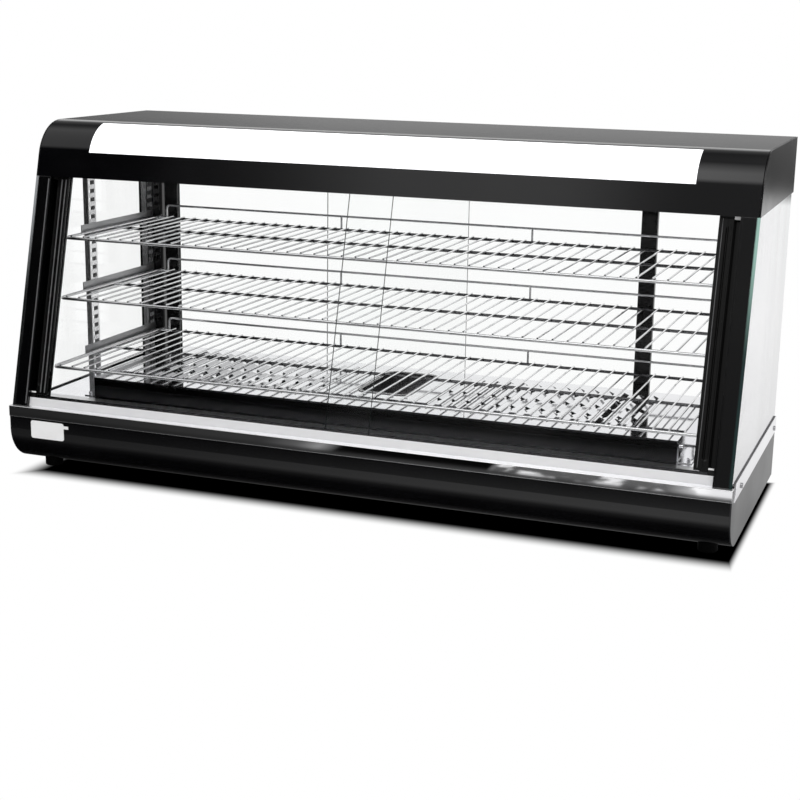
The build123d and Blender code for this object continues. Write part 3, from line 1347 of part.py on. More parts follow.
with BuildPart() as terminal_block:
    block_y = WALL_INNER_Y - TERMINAL_SETBACK
    with Locations((GLAND_X - TERMINAL_LENGTH / 2, block_y, FOOT_HEIGHT + BASE_SHEET)):
        Box(
            TERMINAL_LENGTH,
            TERMINAL_WIDTH,
            TERMINAL_HEIGHT,
            align=(Align.CENTER, Align.CENTER, Align.MIN),
        )
    with BuildSketch(Plane.XZ.offset(-block_y)):
        with Locations((GLAND_X - TERMINAL_LENGTH / 2, FOOT_HEIGHT + BASE_SHEET + TERMINAL_WIRE_RISE)):
            with GridLocations(TERMINAL_LENGTH / TERMINAL_WAYS, 1, TERMINAL_WAYS, 1):
                Circle(TERMINAL_WIRE_RADIUS)
    extrude(amount=TERMINAL_WIDTH, both=True, mode=Mode.SUBTRACT)
terminal_block.part.label = "terminal_block"
export_step(terminal_block.part, "parts/terminal_block.step")
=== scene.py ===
"""Dresses the heated display case, adds its thin trim and sets the photograph's view.

Lengths are in metres in the part's frame: +X to the right, +Y to the back, +Z up.
"""
import json
import math

import bmesh
import bpy
from mathutils import Matrix, Vector


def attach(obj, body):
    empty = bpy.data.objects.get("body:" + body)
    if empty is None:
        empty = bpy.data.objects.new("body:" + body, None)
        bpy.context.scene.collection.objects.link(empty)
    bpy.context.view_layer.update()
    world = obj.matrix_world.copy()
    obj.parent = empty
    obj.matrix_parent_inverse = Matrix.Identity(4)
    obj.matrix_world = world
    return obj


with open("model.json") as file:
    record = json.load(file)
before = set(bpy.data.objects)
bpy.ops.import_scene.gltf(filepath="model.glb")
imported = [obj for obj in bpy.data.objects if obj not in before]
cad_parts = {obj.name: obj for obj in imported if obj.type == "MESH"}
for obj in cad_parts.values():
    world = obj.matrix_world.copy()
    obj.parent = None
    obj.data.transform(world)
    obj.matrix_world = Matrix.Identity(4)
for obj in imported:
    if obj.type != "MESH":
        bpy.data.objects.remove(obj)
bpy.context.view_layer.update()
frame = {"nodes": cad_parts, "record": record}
scene = bpy.context.scene
nodes = frame["nodes"]

# Camera, solved from the photograph's edges
CAMERA_AZIMUTH = math.radians(20.614)
CAMERA_ELEVATION = math.radians(13.988)
CAMERA_ROLL = math.radians(0.898)
CAMERA_DISTANCE = 2.5706
CAMERA_TARGET = Vector((0.0135, -0.013, 0.1355))
CAMERA_LENS = 69.47
CAMERA_SENSOR = 36
CAMERA_REACH = 100

# The part's directions and places that the finishes and the trim follow
ACROSS = Vector((1, 0, 0))
BACKWARD = Vector((0, 1, 0))
UPWARD = Vector((0, 0, 1))
FRONT_LEAN = math.radians(14.59)
SLOPE_UP = Vector((0, math.sin(FRONT_LEAN), math.cos(FRONT_LEAN)))
SLOPE_OUT = Vector((0, -math.cos(FRONT_LEAN), math.sin(FRONT_LEAN)))
SHELF_LEVELS = (0.3843, 0.2848, 0.1718)
SHELF_INSIDE_X = 0.522
FRAME_WIRE_REACH = 0.0032
BEHIND_FRONT_WIRE = (-0.105, -0.095)
# Below this height along the slope, the front stops are painted with their groove's shade.
STOP_WHITE_FROM = 0.0765  # along the front's slope
STOP_UPPER_FROM = 0.4
GLASS_EDGE_LIGHT_HEIGHTS = (0.28, 0.46)


def photo_camera():
    """The camera that took the photograph."""
    sin_a, cos_a = math.sin(CAMERA_AZIMUTH), math.cos(CAMERA_AZIMUTH)
    sin_e, cos_e = math.sin(CAMERA_ELEVATION), math.cos(CAMERA_ELEVATION)
    back = Vector((sin_a * cos_e, -cos_a * cos_e, sin_e))
    level = Vector((cos_a, sin_a, 0))
    upright = back.cross(level)
    right = level * math.cos(CAMERA_ROLL) + upright * math.sin(CAMERA_ROLL)
    up = upright * math.cos(CAMERA_ROLL) - level * math.sin(CAMERA_ROLL)
    data = bpy.data.cameras.new("photo_camera")
    data.sensor_width = CAMERA_SENSOR
    data.lens = CAMERA_LENS
    data.clip_end = CAMERA_REACH
    camera = bpy.data.objects.new("photo_camera", data)
    turn = Matrix((right, up, back)).transposed().to_4x4()
    camera.matrix_world = Matrix.Translation(CAMERA_TARGET + back * CAMERA_DISTANCE) @ turn
    scene.collection.objects.link(camera)
    scene.camera = camera


def rgba(colour):
    return (*colour, 1.0)


class Tree:
    """A node tree with short ways to add what the finishes and the studio use."""

    def __init__(self, tree):
        self.nodes = tree.nodes
        self.links = tree.links

    def node(self, kind, **settings):
        made = self.nodes.new("ShaderNode" + kind)
        for name, value in settings.items():
            setattr(made, name, value)
        return made

    def feed(self, socket, value):
        """Links a socket, or sets a plain value."""
        if isinstance(value, bpy.types.NodeSocket):
            self.links.new(value, socket)
        else:
            socket.default_value = value

    def math(self, operation, first, second=0.0):
        made = self.node("Math", operation=operation)
        self.feed(made.inputs[0], first)
        self.feed(made.inputs[1], second)
        return made.outputs[0]

    def times(self, first, second):
        return self.math("MULTIPLY", first, second)

    def largest(self, first, *others):
        for other in others:
            first = self.math("MAXIMUM", first, other)
        return first

    def near(self, value, middle, reach):
        """1 where a value lies within reach of the middle, and 0 elsewhere."""
        made = self.node("Math", operation="COMPARE")
        self.feed(made.inputs[0], value)
        made.inputs[1].default_value = middle
        made.inputs[2].default_value = reach
        return made.outputs[0]

    def dot(self, vector, direction):
        made = self.node("VectorMath", operation="DOT_PRODUCT")
        self.links.new(vector, made.inputs[0])
        made.inputs[1].default_value = direction
        return made.outputs["Value"]

    def split(self, vector):
        made = self.node("SeparateXYZ")
        self.links.new(vector, made.inputs[0])
        return made.outputs

    def spread(self, value, from_low, from_high, low, high, smooth=False):
        """Maps a value from one range to another, held at the ends."""
        made = self.node("MapRange", interpolation_type="SMOOTHSTEP" if smooth else "LINEAR")
        self.feed(made.inputs["Value"], value)
        self.feed(made.inputs["From Min"], from_low)
        self.feed(made.inputs["From Max"], from_high)
        self.feed(made.inputs["To Min"], low)
        self.feed(made.inputs["To Max"], high)
        return made.outputs["Result"]

    def rise(self, value, first, last, smooth=False):
        """0 up to the first value and 1 from the last one."""
        return self.spread(value, first, last, 0.0, 1.0, smooth)

    def fall(self, value, first, last, smooth=False):
        """1 up to the first value and 0 from the last one."""
        return self.spread(value, first, last, 1.0, 0.0, smooth)

    def ramp(self, value, stops):
        """A level from 0 to 1 that follows (value, level) stops."""
        first, last = stops[0][0], stops[-1][0]
        made = self.node("ValToRGB")
        self.feed(made.inputs[0], self.rise(value, first, last))
        elements = made.color_ramp.elements
        while len(elements) < len(stops):
            elements.new(1.0)
        for element, (place, level) in zip(elements, stops):
            element.position = (place - first) / (last - first)
            element.color = rgba((level, level, level))
        return made.outputs["Color"]

    def between(self, kind, socket_type, share, first, second):
        made = self.node("Mix", data_type=kind)
        self.feed(made.inputs["Factor"], share)
        sockets = [socket for socket in made.inputs if socket.type == socket_type]
        self.feed(sockets[-2], first)
        self.feed(sockets[-1], second)
        return [socket for socket in made.outputs if socket.type == socket_type][0]

    def mix(self, share, first, second):
        """A number between two numbers."""
        return self.between("FLOAT", "VALUE", share, first, second)

    def blend(self, share, first, second):
        """A colour between two colours."""
        return self.between("RGBA", "RGBA", share, first, second)

    def shaders(self, share, first, second):
        made = self.node("MixShader")
        self.feed(made.inputs[0], share)
        self.links.new(first, made.inputs[1])
        self.links.new(second, made.inputs[2])
        return made.outputs[0]


# Where a cloudy noise begins to show as a patch, and where it shows in full
WIDE_PATCHES = (0.40, 0.75)
PATCHES = (0.45, 0.75)
FEW_PATCHES = (0.45, 0.80)
NOISE_RANGE = (0.3, 0.7)  # most values of a noise lie between these
NOISE_ROUGHNESS = 0.55
PAINT_EDGE = 0.0009
PLASTIC_EDGE = 0.0004
STEEL_EDGE = 0.0004
BEVEL_SAMPLES = 4
FINE_BEVEL_SAMPLES = 6
STREAK_STRETCH = 0.012
SQUARELY = 0.6  # a face counts as looking along a direction from here
PAINTED_LIGHT_RANGE = (SQUARELY, 0.8)
SATIN_RANGE = (SQUARELY, 0.9)
DARK_FRAME_WIRE = (0.14, 0.14, 0.145)
FRONT_WIRE_ROUGH = 0.26
GLASS_TONES = ((0.965, 0.965, 0.995), (1.0, 1.0, 1.0))
GLASS_CLEAR = (0.998, 1.0, 0.999)
GLASS_ROUGH = (0.006, 0.03)
GLASS_EDGE_ROUGH = (0.12, 0.2)
GLASS_BLEND = 0.5
SLANT_RANGE = (0.5, 0.9)
STOP_ROUGH = (0.28, 0.42)
GLOW_ROUGH = 0.3
GLOW_CLOUDED = 0.97
GLOW_AT_ENDS = 0.9

finishes = {}


class Finish(Tree):
    """A procedural material on a Principled shader, patterned in the piece's own coordinates."""

    def __init__(self, name, **sockets):
        material = bpy.data.materials.new(name)
        material.use_nodes = True
        super().__init__(material.node_tree)
        self.shader = self.nodes["Principled BSDF"]
        self.place = self.node("TexCoord").outputs["Object"]
        self.normal = None
        for socket, value in sockets.items():
            self.set(socket.replace("_", " "), value)
        finishes[name] = material

    def set(self, socket, value):
        self.feed(self.shader.inputs[socket], value)

    def noise(self, scale, detail, stretch=(1, 1, 1)):
        """Soft cloudy noise from 0 to 1; scale is in grains a metre, and stretch draws it out."""
        mapping = self.node("Mapping")
        mapping.inputs["Scale"].default_value = stretch
        self.links.new(self.place, mapping.inputs["Vector"])
        made = self.node("TexNoise")
        made.inputs["Scale"].default_value = scale
        made.inputs["Detail"].default_value = detail
        made.inputs["Roughness"].default_value = NOISE_ROUGHNESS
        self.links.new(mapping.outputs["Vector"], made.inputs["Vector"])
        return made.outputs["Fac"]

    def colour(self, share, first, second):
        self.set("Base Color", self.blend(share, rgba(first), rgba(second)))

    def rough(self, grain, roughness):
        self.set("Roughness", self.spread(grain, *NOISE_RANGE, *roughness))

    def round_edges(self, radius, samples):
        """Edges catch the light as a rolled or broken edge does."""
        made = self.node("Bevel", samples=samples)
        made.inputs["Radius"].default_value = radius
        self.normal = made.outputs["Normal"]
        self.set("Normal", self.normal)

    def bump(self, height, strength, distance):
        made = self.node("Bump")
        made.inputs["Strength"].default_value = strength
        made.inputs["Distance"].default_value = distance
        self.links.new(height, made.inputs["Height"])
        if self.normal is not None:
            self.links.new(self.normal, made.inputs["Normal"])
        self.set("Normal", made.outputs["Normal"])

    def facing(self, direction):
        """How squarely a face looks along a direction, from 0 to 1, whichever side shows."""
        return self.math("ABSOLUTE", self.dot(self.node("TexCoord").outputs["Normal"], direction))


def paint(name, colour, dusty, roughness, edge=PAINT_EDGE):
    """Powder coat: fine orange peel, a few rubbed places and a little dust."""
    finish = Finish(name)
    dust = finish.rise(finish.noise(scale=9, detail=5), *PATCHES)
    finish.colour(dust, colour, dusty)
    finish.rough(finish.noise(scale=6, detail=3), roughness)
    finish.round_edges(edge, FINE_BEVEL_SAMPLES)
    finish.bump(finish.noise(scale=1400, detail=2), strength=0.04, distance=0.0002)


def steel(name, colour, stained, roughness, grain_axis, grain=0.05, satin_up=0.0, painted_light_facing=None):
    """Rolled stainless sheet: fine streaks along one axis and faint clouds of handling.
    Faces that look up can be satin, and those that look along one direction can be
    painted a colour of their own, as painted light or shade."""
    finish = Finish(name, Metallic=1.0)
    along = [1.0, 1.0, 1.0]
    along[grain_axis] = STREAK_STRETCH
    streaks = finish.noise(scale=900, detail=3, stretch=along)
    clouds = finish.noise(scale=11, detail=4)
    tone = finish.blend(finish.rise(clouds, *WIDE_PATCHES), rgba(colour), rgba(stained))
    # Painted light or shade: faces looking along one direction get their own colour.
    if painted_light_facing:
        direction, painted_light_tone = painted_light_facing
        there = finish.rise(finish.facing(direction), *PAINTED_LIGHT_RANGE)
        tone = finish.blend(there, tone, rgba(painted_light_tone))
    finish.set("Base Color", tone)
    share = finish.math("ADD", finish.times(streaks, 0.5), finish.times(clouds, 0.5))
    level = finish.spread(share, *NOISE_RANGE, *roughness)
    if satin_up:
        level = finish.mix(finish.rise(finish.facing(UPWARD), *SATIN_RANGE), level, satin_up)
    finish.set("Roughness", level)
    finish.round_edges(STEEL_EDGE, BEVEL_SAMPLES)
    finish.bump(streaks, strength=grain, distance=0.0001)


def filmed(name, colour, worn, roughness):
    """Steel under a whitish protective film with a fine stipple."""
    finish = Finish(name, Metallic=0.3)
    finish.colour(finish.rise(finish.noise(scale=12, detail=4), *WIDE_PATCHES), colour, worn)
    finish.rough(finish.noise(scale=40, detail=3), roughness)
    finish.round_edges(STEEL_EDGE, BEVEL_SAMPLES)
    finish.bump(finish.noise(scale=650, detail=2), strength=0.10, distance=0.0001)


def plated(name, colour, dull, roughness):
    """Bright plated wire, a little dull in patches. The frame wires under the cross wires
    are darker, apart from the front one, which is satin."""
    finish = Finish(name, Metallic=1.0)
    patches = finish.noise(scale=60, detail=4)
    tone = finish.blend(finish.rise(patches, *FEW_PATCHES), rgba(colour), rgba(dull))
    place = finish.split(finish.place)
    under = 0.0
    for level in SHELF_LEVELS:
        under = finish.math("ADD", finish.near(place["Z"], level, FRAME_WIRE_REACH), under)
    inside = finish.math("LESS_THAN", finish.math("ABSOLUTE", place["X"]), SHELF_INSIDE_X)
    darkened = finish.times(under, finish.rise(place["Y"], *BEHIND_FRONT_WIRE))
    finish.set("Base Color", finish.blend(finish.times(darkened, inside), tone, rgba(DARK_FRAME_WIRE)))
    front = finish.times(under, finish.fall(place["Y"], *BEHIND_FRONT_WIRE))
    bright = finish.spread(patches, *NOISE_RANGE, *roughness)
    finish.set("Roughness", finish.mix(front, bright, FRONT_WIRE_ROUGH))
    finish.bump(finish.noise(scale=700, detail=2), strength=0.03, distance=0.0001)


def plastic(name, colour, worn, roughness, grain=(900, 0.08), edge=PLASTIC_EDGE, **sockets):
    """Moulded plastic; its grain is given by scale and strength."""
    scale, strength = grain
    finish = Finish(name, **sockets)
    finish.colour(finish.rise(finish.noise(scale=35, detail=4), *FEW_PATCHES), colour, worn)
    finish.rough(finish.noise(scale=50, detail=3), roughness)
    finish.round_edges(edge, FINE_BEVEL_SAMPLES)
    finish.bump(finish.noise(scale, detail=2), strength, distance=0.0002)


def glass(name, face_normal, mirror_levels, painted_edge_light, smeared):
    """Flat glass: clear faces that mirror more at a slant, and polished edges with painted
    light, painted lighter from their lower end to their upper one."""
    finish = Finish(name, Metallic=1.0)
    clouds = finish.noise(scale=7, detail=5)
    finish.colour(clouds, *GLASS_TONES)
    finish.set("Roughness", finish.spread(clouds, *FEW_PATCHES, *GLASS_ROUGH))
    slant = finish.node("LayerWeight")
    slant.inputs["Blend"].default_value = GLASS_BLEND
    mirror = finish.spread(slant.outputs["Facing"], *SLANT_RANGE, *mirror_levels)
    wiped = finish.noise(scale=5, detail=6, stretch=(1, 1, 0.4))
    smear = finish.spread(wiped, *PATCHES, 0.0, smeared)
    clear = finish.node("BsdfTransparent")
    clear.inputs["Color"].default_value = rgba(GLASS_CLEAR)
    reflecting = finish.math("ADD", mirror, smear)
    face = finish.shaders(reflecting, clear.outputs[0], finish.shader.outputs[0])
    cut = finish.node("BsdfPrincipled")
    edge_shaded_tone, edge_lit_tone = painted_edge_light
    # Painted light: the edges are painted darker at the bottom and lighter at the top.
    height = finish.rise(finish.split(finish.place)["Z"], *GLASS_EDGE_LIGHT_HEIGHTS, smooth=True)
    finish.feed(cut.inputs["Base Color"], finish.blend(height, rgba(edge_shaded_tone), rgba(edge_lit_tone)))
    finish.feed(cut.inputs["Roughness"], finish.spread(clouds, *NOISE_RANGE, *GLASS_EDGE_ROUGH))
    edge = finish.math("LESS_THAN", finish.facing(face_normal), SQUARELY)
    shown = finish.shaders(edge, face, cut.outputs[0])
    finish.links.new(shown, finish.nodes["Material Output"].inputs["Surface"])


def stop_plastic(name, white, black):
    """Door stops of white nylon. In front, the lower ones are painted black below their caps
    as painted shade from their groove, and the upper left one is painted black all over."""
    finish = Finish(name)
    place = finish.split(finish.place)
    # Painted shade: below their caps, the lower front stops are painted black.
    groove_shade = finish.math("LESS_THAN", finish.dot(finish.place, SLOPE_UP), STOP_WHITE_FROM)
    upper = finish.math("GREATER_THAN", place["Z"], STOP_UPPER_FROM)
    upper_left = finish.times(upper, finish.math("LESS_THAN", place["X"], 0.0))
    front = finish.math("LESS_THAN", place["Y"], 0.0)
    finish.colour(finish.times(front, finish.largest(groove_shade, upper_left)), white, black)
    finish.rough(finish.noise(scale=50, detail=3), STOP_ROUGH)
    finish.bump(finish.noise(scale=900, detail=2), strength=0.08, distance=0.0002)


def glowing(name, colour, strength, dim_from, dim_to):
    """White sheet or tube lit from inside, a little dimmer towards its ends."""
    finish = Finish(name, Roughness=GLOW_ROUGH)
    clouded = [GLOW_CLOUDED * level for level in colour]
    dimmed = [GLOW_AT_ENDS * level for level in colour]
    finish.colour(finish.noise(scale=20, detail=3), colour, clouded)
    out = finish.math("ABSOLUTE", finish.split(finish.place)["X"])
    dim = finish.rise(out, dim_from, dim_to, smooth=True)
    finish.set("Emission Color", finish.blend(dim, rgba(colour), rgba(dimmed)))
    finish.set("Emission Strength", strength)
    finish.bump(finish.noise(scale=300, detail=2), strength=0.03, distance=0.0002)


# The finishes. Each is named after its slot in the record, or is a node's own.
X_GRAIN, Y_GRAIN, Z_GRAIN = 0, 1, 2

paint("black_paint", (0.0012, 0.0012, 0.0016), (0.003, 0.003, 0.0035), (0.06, 0.10), edge=0.0003)
# The end plates are painted a lighter black than the rest of the case: a painted reflection of
# the light room beside them.
paint("end_paint", (0.014, 0.014, 0.016), (0.020, 0.020, 0.022), (0.28, 0.36))
paint("hood_end_paint", (0.0015, 0.0015, 0.002), (0.003, 0.003, 0.0035), (0.16, 0.22))
paint("post_paint", (0.0012, 0.0012, 0.0015), (0.003, 0.003, 0.003), (0.07, 0.12), edge=0.0016)
paint("lamp_case", (0.74, 0.74, 0.74), (0.68, 0.68, 0.67), (0.35, 0.50))

steel("polished_steel", (0.88, 0.88, 0.90), (0.82, 0.82, 0.85), (0.02, 0.05), X_GRAIN)
steel(
    "sill_steel", (0.97, 0.97, 0.98), (0.93, 0.93, 0.95), (0.02, 0.06), X_GRAIN,
    grain=0.03, satin_up=0.34,
)
steel("upright_steel", (0.90, 0.90, 0.91), (0.84, 0.84, 0.85), (0.22, 0.34), Z_GRAIN)
# The cover's front and back faces are painted near black: a painted dark reflection.
steel(
    "cover_steel", (0.80, 0.80, 0.82), (0.74, 0.74, 0.76), (0.03, 0.07), X_GRAIN,
    painted_light_facing=(BACKWARD, (0.035, 0.035, 0.037)),
)
steel("zinc_steel", (0.62, 0.62, 0.63), (0.54, 0.54, 0.55), (0.38, 0.50), Y_GRAIN, grain=0.12)
steel("tray_steel", (0.30, 0.30, 0.315), (0.22, 0.21, 0.20), (0.16, 0.32), Y_GRAIN, grain=0.10)
# The track's faces that look up the slope are painted light grey: a painted highlight on its wall
# tops.
steel(
    "track_metal", (0.10, 0.10, 0.105), (0.15, 0.15, 0.155), (0.20, 0.34), X_GRAIN,
    grain=0.10, painted_light_facing=(SLOPE_UP, (0.60, 0.60, 0.61)),
)
steel("heater_sheath", (0.20, 0.185, 0.17), (0.28, 0.22, 0.16), (0.30, 0.48), X_GRAIN, grain=0.15)
filmed("satin_steel", (0.97, 0.97, 0.98), (0.91, 0.91, 0.93), (0.28, 0.38))
plated("chrome_wire", (0.90, 0.90, 0.91), (0.78, 0.79, 0.81), (0.03, 0.09))

glass(
    "side_glass", ACROSS, mirror_levels=(0.04, 0.84),
    painted_edge_light=((0.010, 0.026, 0.025), (0.30, 0.48, 0.42)), smeared=0.07,
)
# The left pane is a lit copy of the side glass: its edges get painted light in grey, not green.
glass(
    "side_glass_left", ACROSS, mirror_levels=(0.04, 0.84),
    painted_edge_light=((0.010, 0.011, 0.011), (0.26, 0.27, 0.28)), smeared=0.03,
)
glass(
    "door_glass", SLOPE_OUT, mirror_levels=(0.006, 0.30),
    painted_edge_light=((0.016, 0.022, 0.021), (0.03, 0.04, 0.038)), smeared=0.01,
)

plastic("handle_plastic", (0.002, 0.002, 0.002), (0.004, 0.004, 0.004), (0.10, 0.16), edge=0.0016)
# A lighter black for the beads that show a line of light: a painted highlight.
plastic("bead_trim", (0.09, 0.09, 0.093), (0.11, 0.11, 0.112), (0.22, 0.30))
plastic("white_plastic", (0.88, 0.88, 0.88), (0.82, 0.82, 0.81), (0.28, 0.42))
plastic("cream_plastic", (0.80, 0.78, 0.70), (0.72, 0.69, 0.60), (0.40, 0.55))
plastic(
    "rubber", (0.002, 0.002, 0.002), (0.004, 0.004, 0.004), (0.50, 0.70),
    grain=(500, 0.2), Specular_IOR_Level=0.1,
)
plastic("control_plastic", (0.014, 0.014, 0.016), (0.025, 0.025, 0.026), (0.38, 0.55))
plastic(
    "rocker_plastic", (0.02, 0.02, 0.021), (0.032, 0.032, 0.033), (0.18, 0.30),
    grain=(700, 0.04),
)
plastic(
    "amber_lens", (0.85, 0.30, 0.03), (0.75, 0.24, 0.02), (0.12, 0.22),
    grain=(400, 0.05), Coat_Weight=0.4,
)
stop_plastic("stop_plastic", (0.86, 0.86, 0.86), (0.003, 0.003, 0.003))

glowing("sign_acrylic", (0.95, 0.952, 0.965), strength=0.72, dim_from=0.44, dim_to=0.51)
glowing("lamp_glass", (1.0, 0.99, 0.96), strength=4.0, dim_from=0.39, dim_to=0.44)

OWN_FINISH = {
    "hood_ends": "hood_end_paint",
    "sill": "sill_steel",
    "uprights": "upright_steel",
    "side_glass_left": "side_glass_left",
    "heater_cover": "cover_steel",
    "track_stops": "stop_plastic",
}


def dress():
    """Gives every CAD node its own finish, or that of its slot in the record."""
    for part in frame["record"]["subparts"]:
        piece = nodes[part["node"]]
        finish = OWN_FINISH.get(part["node"], part["material_slot"])
        piece.data.materials.clear()
        piece.data.materials.append(finishes[finish])


# Thin trim of the front, set on the solids
SHARP_FROM = math.radians(40)
BEAD_RADIUS = 0.0012
BEAD_STEPS = 10
BEAD_SINK = 0.0001
INLAID_SINK = 0.0010  # the left door's glass passes close in front of the right handle
BEAD_END = 0.004
HANDLE_BEADS = (0.5435, 0.5510)
POST_BEAD = 0.5730
BAND_DEPTHS = (0.0003, 0.0008)
HEM_RADIUS = 0.0006
HEM_HALF = 0.5998
HEM_TURN = 330  # to the last point of the hem's round outline
HEM_STEPS = 11
LIP_FRONT_Y = -0.2380
LIP_BOTTOM_Z = 0.0972

# Screws, ticks and marks on the rear wall
BACK_Y = 0.2120
SCREW_PROFILE = (
    (0.0035, -0.0002), (0.0035, 0.0006), (0.0029, 0.0014), (0.0014, 0.0017),
    (0.0014, 0.0008), (0.0, 0.0008),
)
SCREW_STEPS = 18
SCREW_ROWS = (
    (0.104, (-0.575, -0.29, 0.0, 0.29, 0.575)),
    (0.026, (-0.575, 0.575)),
)
KNOB_PLACE = (0.380, 0.074)
DIAL_RADII = (0.0205, 0.0240)
DIAL_TURNS = range(-45, 226, 30)
MARK_DEPTH = 0.0003
MARK_HALF = 0.0004
MARK_REACH = 0.0018
RING_TURN = 345  # to the last point of a ring, next to its first one
RING_STEPS = 23
SWITCH_X = (0.440, 0.480)
ON_MARK_Z = 0.0925
OFF_MARK_Z = 0.0555


def add_piece(name, corners, faces, slot, body, finish=None):
    """A small piece of trim that rides on a body."""
    mesh = bpy.data.meshes.new(name)
    mesh.from_pydata([tuple(corner) for corner in corners], [], faces)
    shape = bmesh.new()
    shape.from_mesh(mesh)
    bmesh.ops.recalc_face_normals(shape, faces=shape.faces)
    shape.to_mesh(mesh)
    shape.free()
    mesh.shade_smooth()
    mesh.set_sharp_from_angle(angle=SHARP_FROM)
    mesh.materials.append(finishes[finish or slot])
    piece = bpy.data.objects.new(name, mesh)
    scene.collection.objects.link(piece)
    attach(piece, body)


def bar(outline, across, out, start, end):
    """Corners and faces of a straight bar: an (across, out) outline drawn from start to end."""
    count = len(outline)
    corners = [point + across * u + out * v for point in (start, end) for u, v in outline]
    sides = [(i, (i + 1) % count, count + (i + 1) % count, count + i) for i in range(count)]
    return corners, sides + [tuple(range(count)), tuple(range(count, 2 * count))]


def arc(radius, first, last, steps, lift=0.0):
    """Points of an arc, in degrees from first to last."""
    turns = [math.radians(first + (last - first) * i / steps) for i in range(steps + 1)]
    return [(radius * math.cos(turn), radius * math.sin(turn) + lift) for turn in turns]


def placed_corners(node):
    return [nodes[node].matrix_world @ vertex.co for vertex in nodes[node].data.vertices]


def slope_beads(node, slot, body, places, sink=BEAD_SINK):
    """Thin half-round beads down the leaning face of a door handle or post. Those on the
    left, and the right handle's inner one, are painted lighter: a painted highlight."""
    corners = placed_corners(node)
    face = max(corner.dot(SLOPE_OUT) for corner in corners)
    in_face = [corner for corner in corners if corner.dot(SLOPE_OUT) > face - BEAD_SINK]
    heights = [corner.dot(SLOPE_UP) for corner in in_face]
    outline = arc(BEAD_RADIUS, 0, 180, BEAD_STEPS, -sink)
    for number, x in enumerate(places, 1):
        foot = ACROSS * x + SLOPE_OUT * face
        start = foot + SLOPE_UP * (min(heights) + BEAD_END)
        end = foot + SLOPE_UP * (max(heights) - BEAD_END)
        finish = "bead_trim" if x < 0 or x == HANDLE_BEADS[0] else None
        shape = bar(outline, ACROSS, SLOPE_OUT, start, end)
        add_piece(f"{node}_bead_{number}", *shape, slot, body, finish)


def glass_band(word, side):
    """The black printed band inside a side pane, where it covers the front post."""
    corners = placed_corners(f"front_post_{word}")
    reach = max(side * corner.x for corner in corners)
    outer = [corner for corner in corners if side * corner.x > reach - BEAD_SINK]
    top, bottom = max(corner.z for corner in outer), min(corner.z for corner in outer)
    outline = []
    for z, pick in ((bottom, min), (bottom, max), (top, max), (top, min)):
        outline.append((pick(corner.y for corner in outer if abs(corner.z - z) < BEAD_SINK), z))
    ends = [ACROSS * side * (reach + depth) for depth in BAND_DEPTHS]
    shape = bar(outline, BACKWARD, UPWARD, *ends)
    add_piece(f"side_glass_band_{word}", *shape, "post_paint", "case")


def front_trim():
    """Beads of the handles and posts, the bands of the side glass and the lip's hem."""
    for side, word, sink in ((-1, "left", BEAD_SINK), (1, "right", INLAID_SINK)):
        door = f"front_door_{word}"
        handle_places = [side * x for x in HANDLE_BEADS]
        slope_beads(f"{door}_handle", "handle_plastic", door, handle_places, sink)
        slope_beads(f"front_post_{word}", "post_paint", "case", [side * POST_BEAD])
        glass_band(word, side)
    hem_line = Vector((0, LIP_FRONT_Y + HEM_RADIUS, LIP_BOTTOM_Z - HEM_RADIUS / 3))
    ends = (hem_line - ACROSS * HEM_HALF, hem_line + ACROSS * HEM_HALF)
    shape = bar(arc(HEM_RADIUS, 0, HEM_TURN, HEM_STEPS), BACKWARD, UPWARD, *ends)
    add_piece("lip_hem", *shape, "zinc_steel", "case")


def screw_head(x, z):
    """Corners and faces of a screw head turned from its (radius, height) profile."""
    place = Vector((x, BACK_Y, z))
    *rings, tip = SCREW_PROFILE
    corners = []
    for radius, height in rings:
        for step in range(SCREW_STEPS):
            turn = math.tau * step / SCREW_STEPS
            offset = Vector((radius * math.cos(turn), height, radius * math.sin(turn)))
            corners.append(place + offset)
    corners.append(place + BACKWARD * tip[1])
    last = (len(rings) - 1) * SCREW_STEPS
    faces = []
    for low in range(0, last, SCREW_STEPS):
        for step in range(SCREW_STEPS):
            after = low + (step + 1) % SCREW_STEPS
            faces.append((low + step, after, after + SCREW_STEPS, low + SCREW_STEPS + step))
    for step in range(SCREW_STEPS):
        faces.append((last + step, last + (step + 1) % SCREW_STEPS, len(corners) - 1))
    faces.append(tuple(range(SCREW_STEPS)))
    return corners, faces


def line_mark(name, start, end):
    """A straight printed mark on the rear wall."""
    side = (end - start).normalized().cross(BACKWARD)
    outline = [
        (-MARK_HALF, -MARK_DEPTH), (MARK_HALF, -MARK_DEPTH),
        (MARK_HALF, MARK_DEPTH), (-MARK_HALF, MARK_DEPTH),
    ]
    shape = bar(outline, side, BACKWARD, start, end)
    add_piece(name, *shape, "white_plastic", "case")


def ring_mark(name, middle):
    """A round printed mark on the rear wall."""
    outer_arc = arc(MARK_REACH, 0, RING_TURN, RING_STEPS)
    ring = outer_arc + arc(MARK_REACH - 2 * MARK_HALF, RING_TURN, 0, RING_STEPS)
    count, total = len(outer_arc), len(ring)
    corners = []
    for height in (-MARK_DEPTH, MARK_DEPTH):
        corners += [middle + ACROSS * u + UPWARD * v + BACKWARD * height for u, v in ring]
    faces = []
    for i in range(count):
        j = (i + 1) % count
        outer, inner = (i, j), (total - 1 - i, total - 1 - j)
        for a, b in (outer, inner):
            faces.append((a, b, total + b, total + a))
        for lift in (0, total):
            faces.append((lift + outer[0], lift + outer[1], lift + inner[1], lift + inner[0]))
    add_piece(name, corners, faces, "white_plastic", "case")


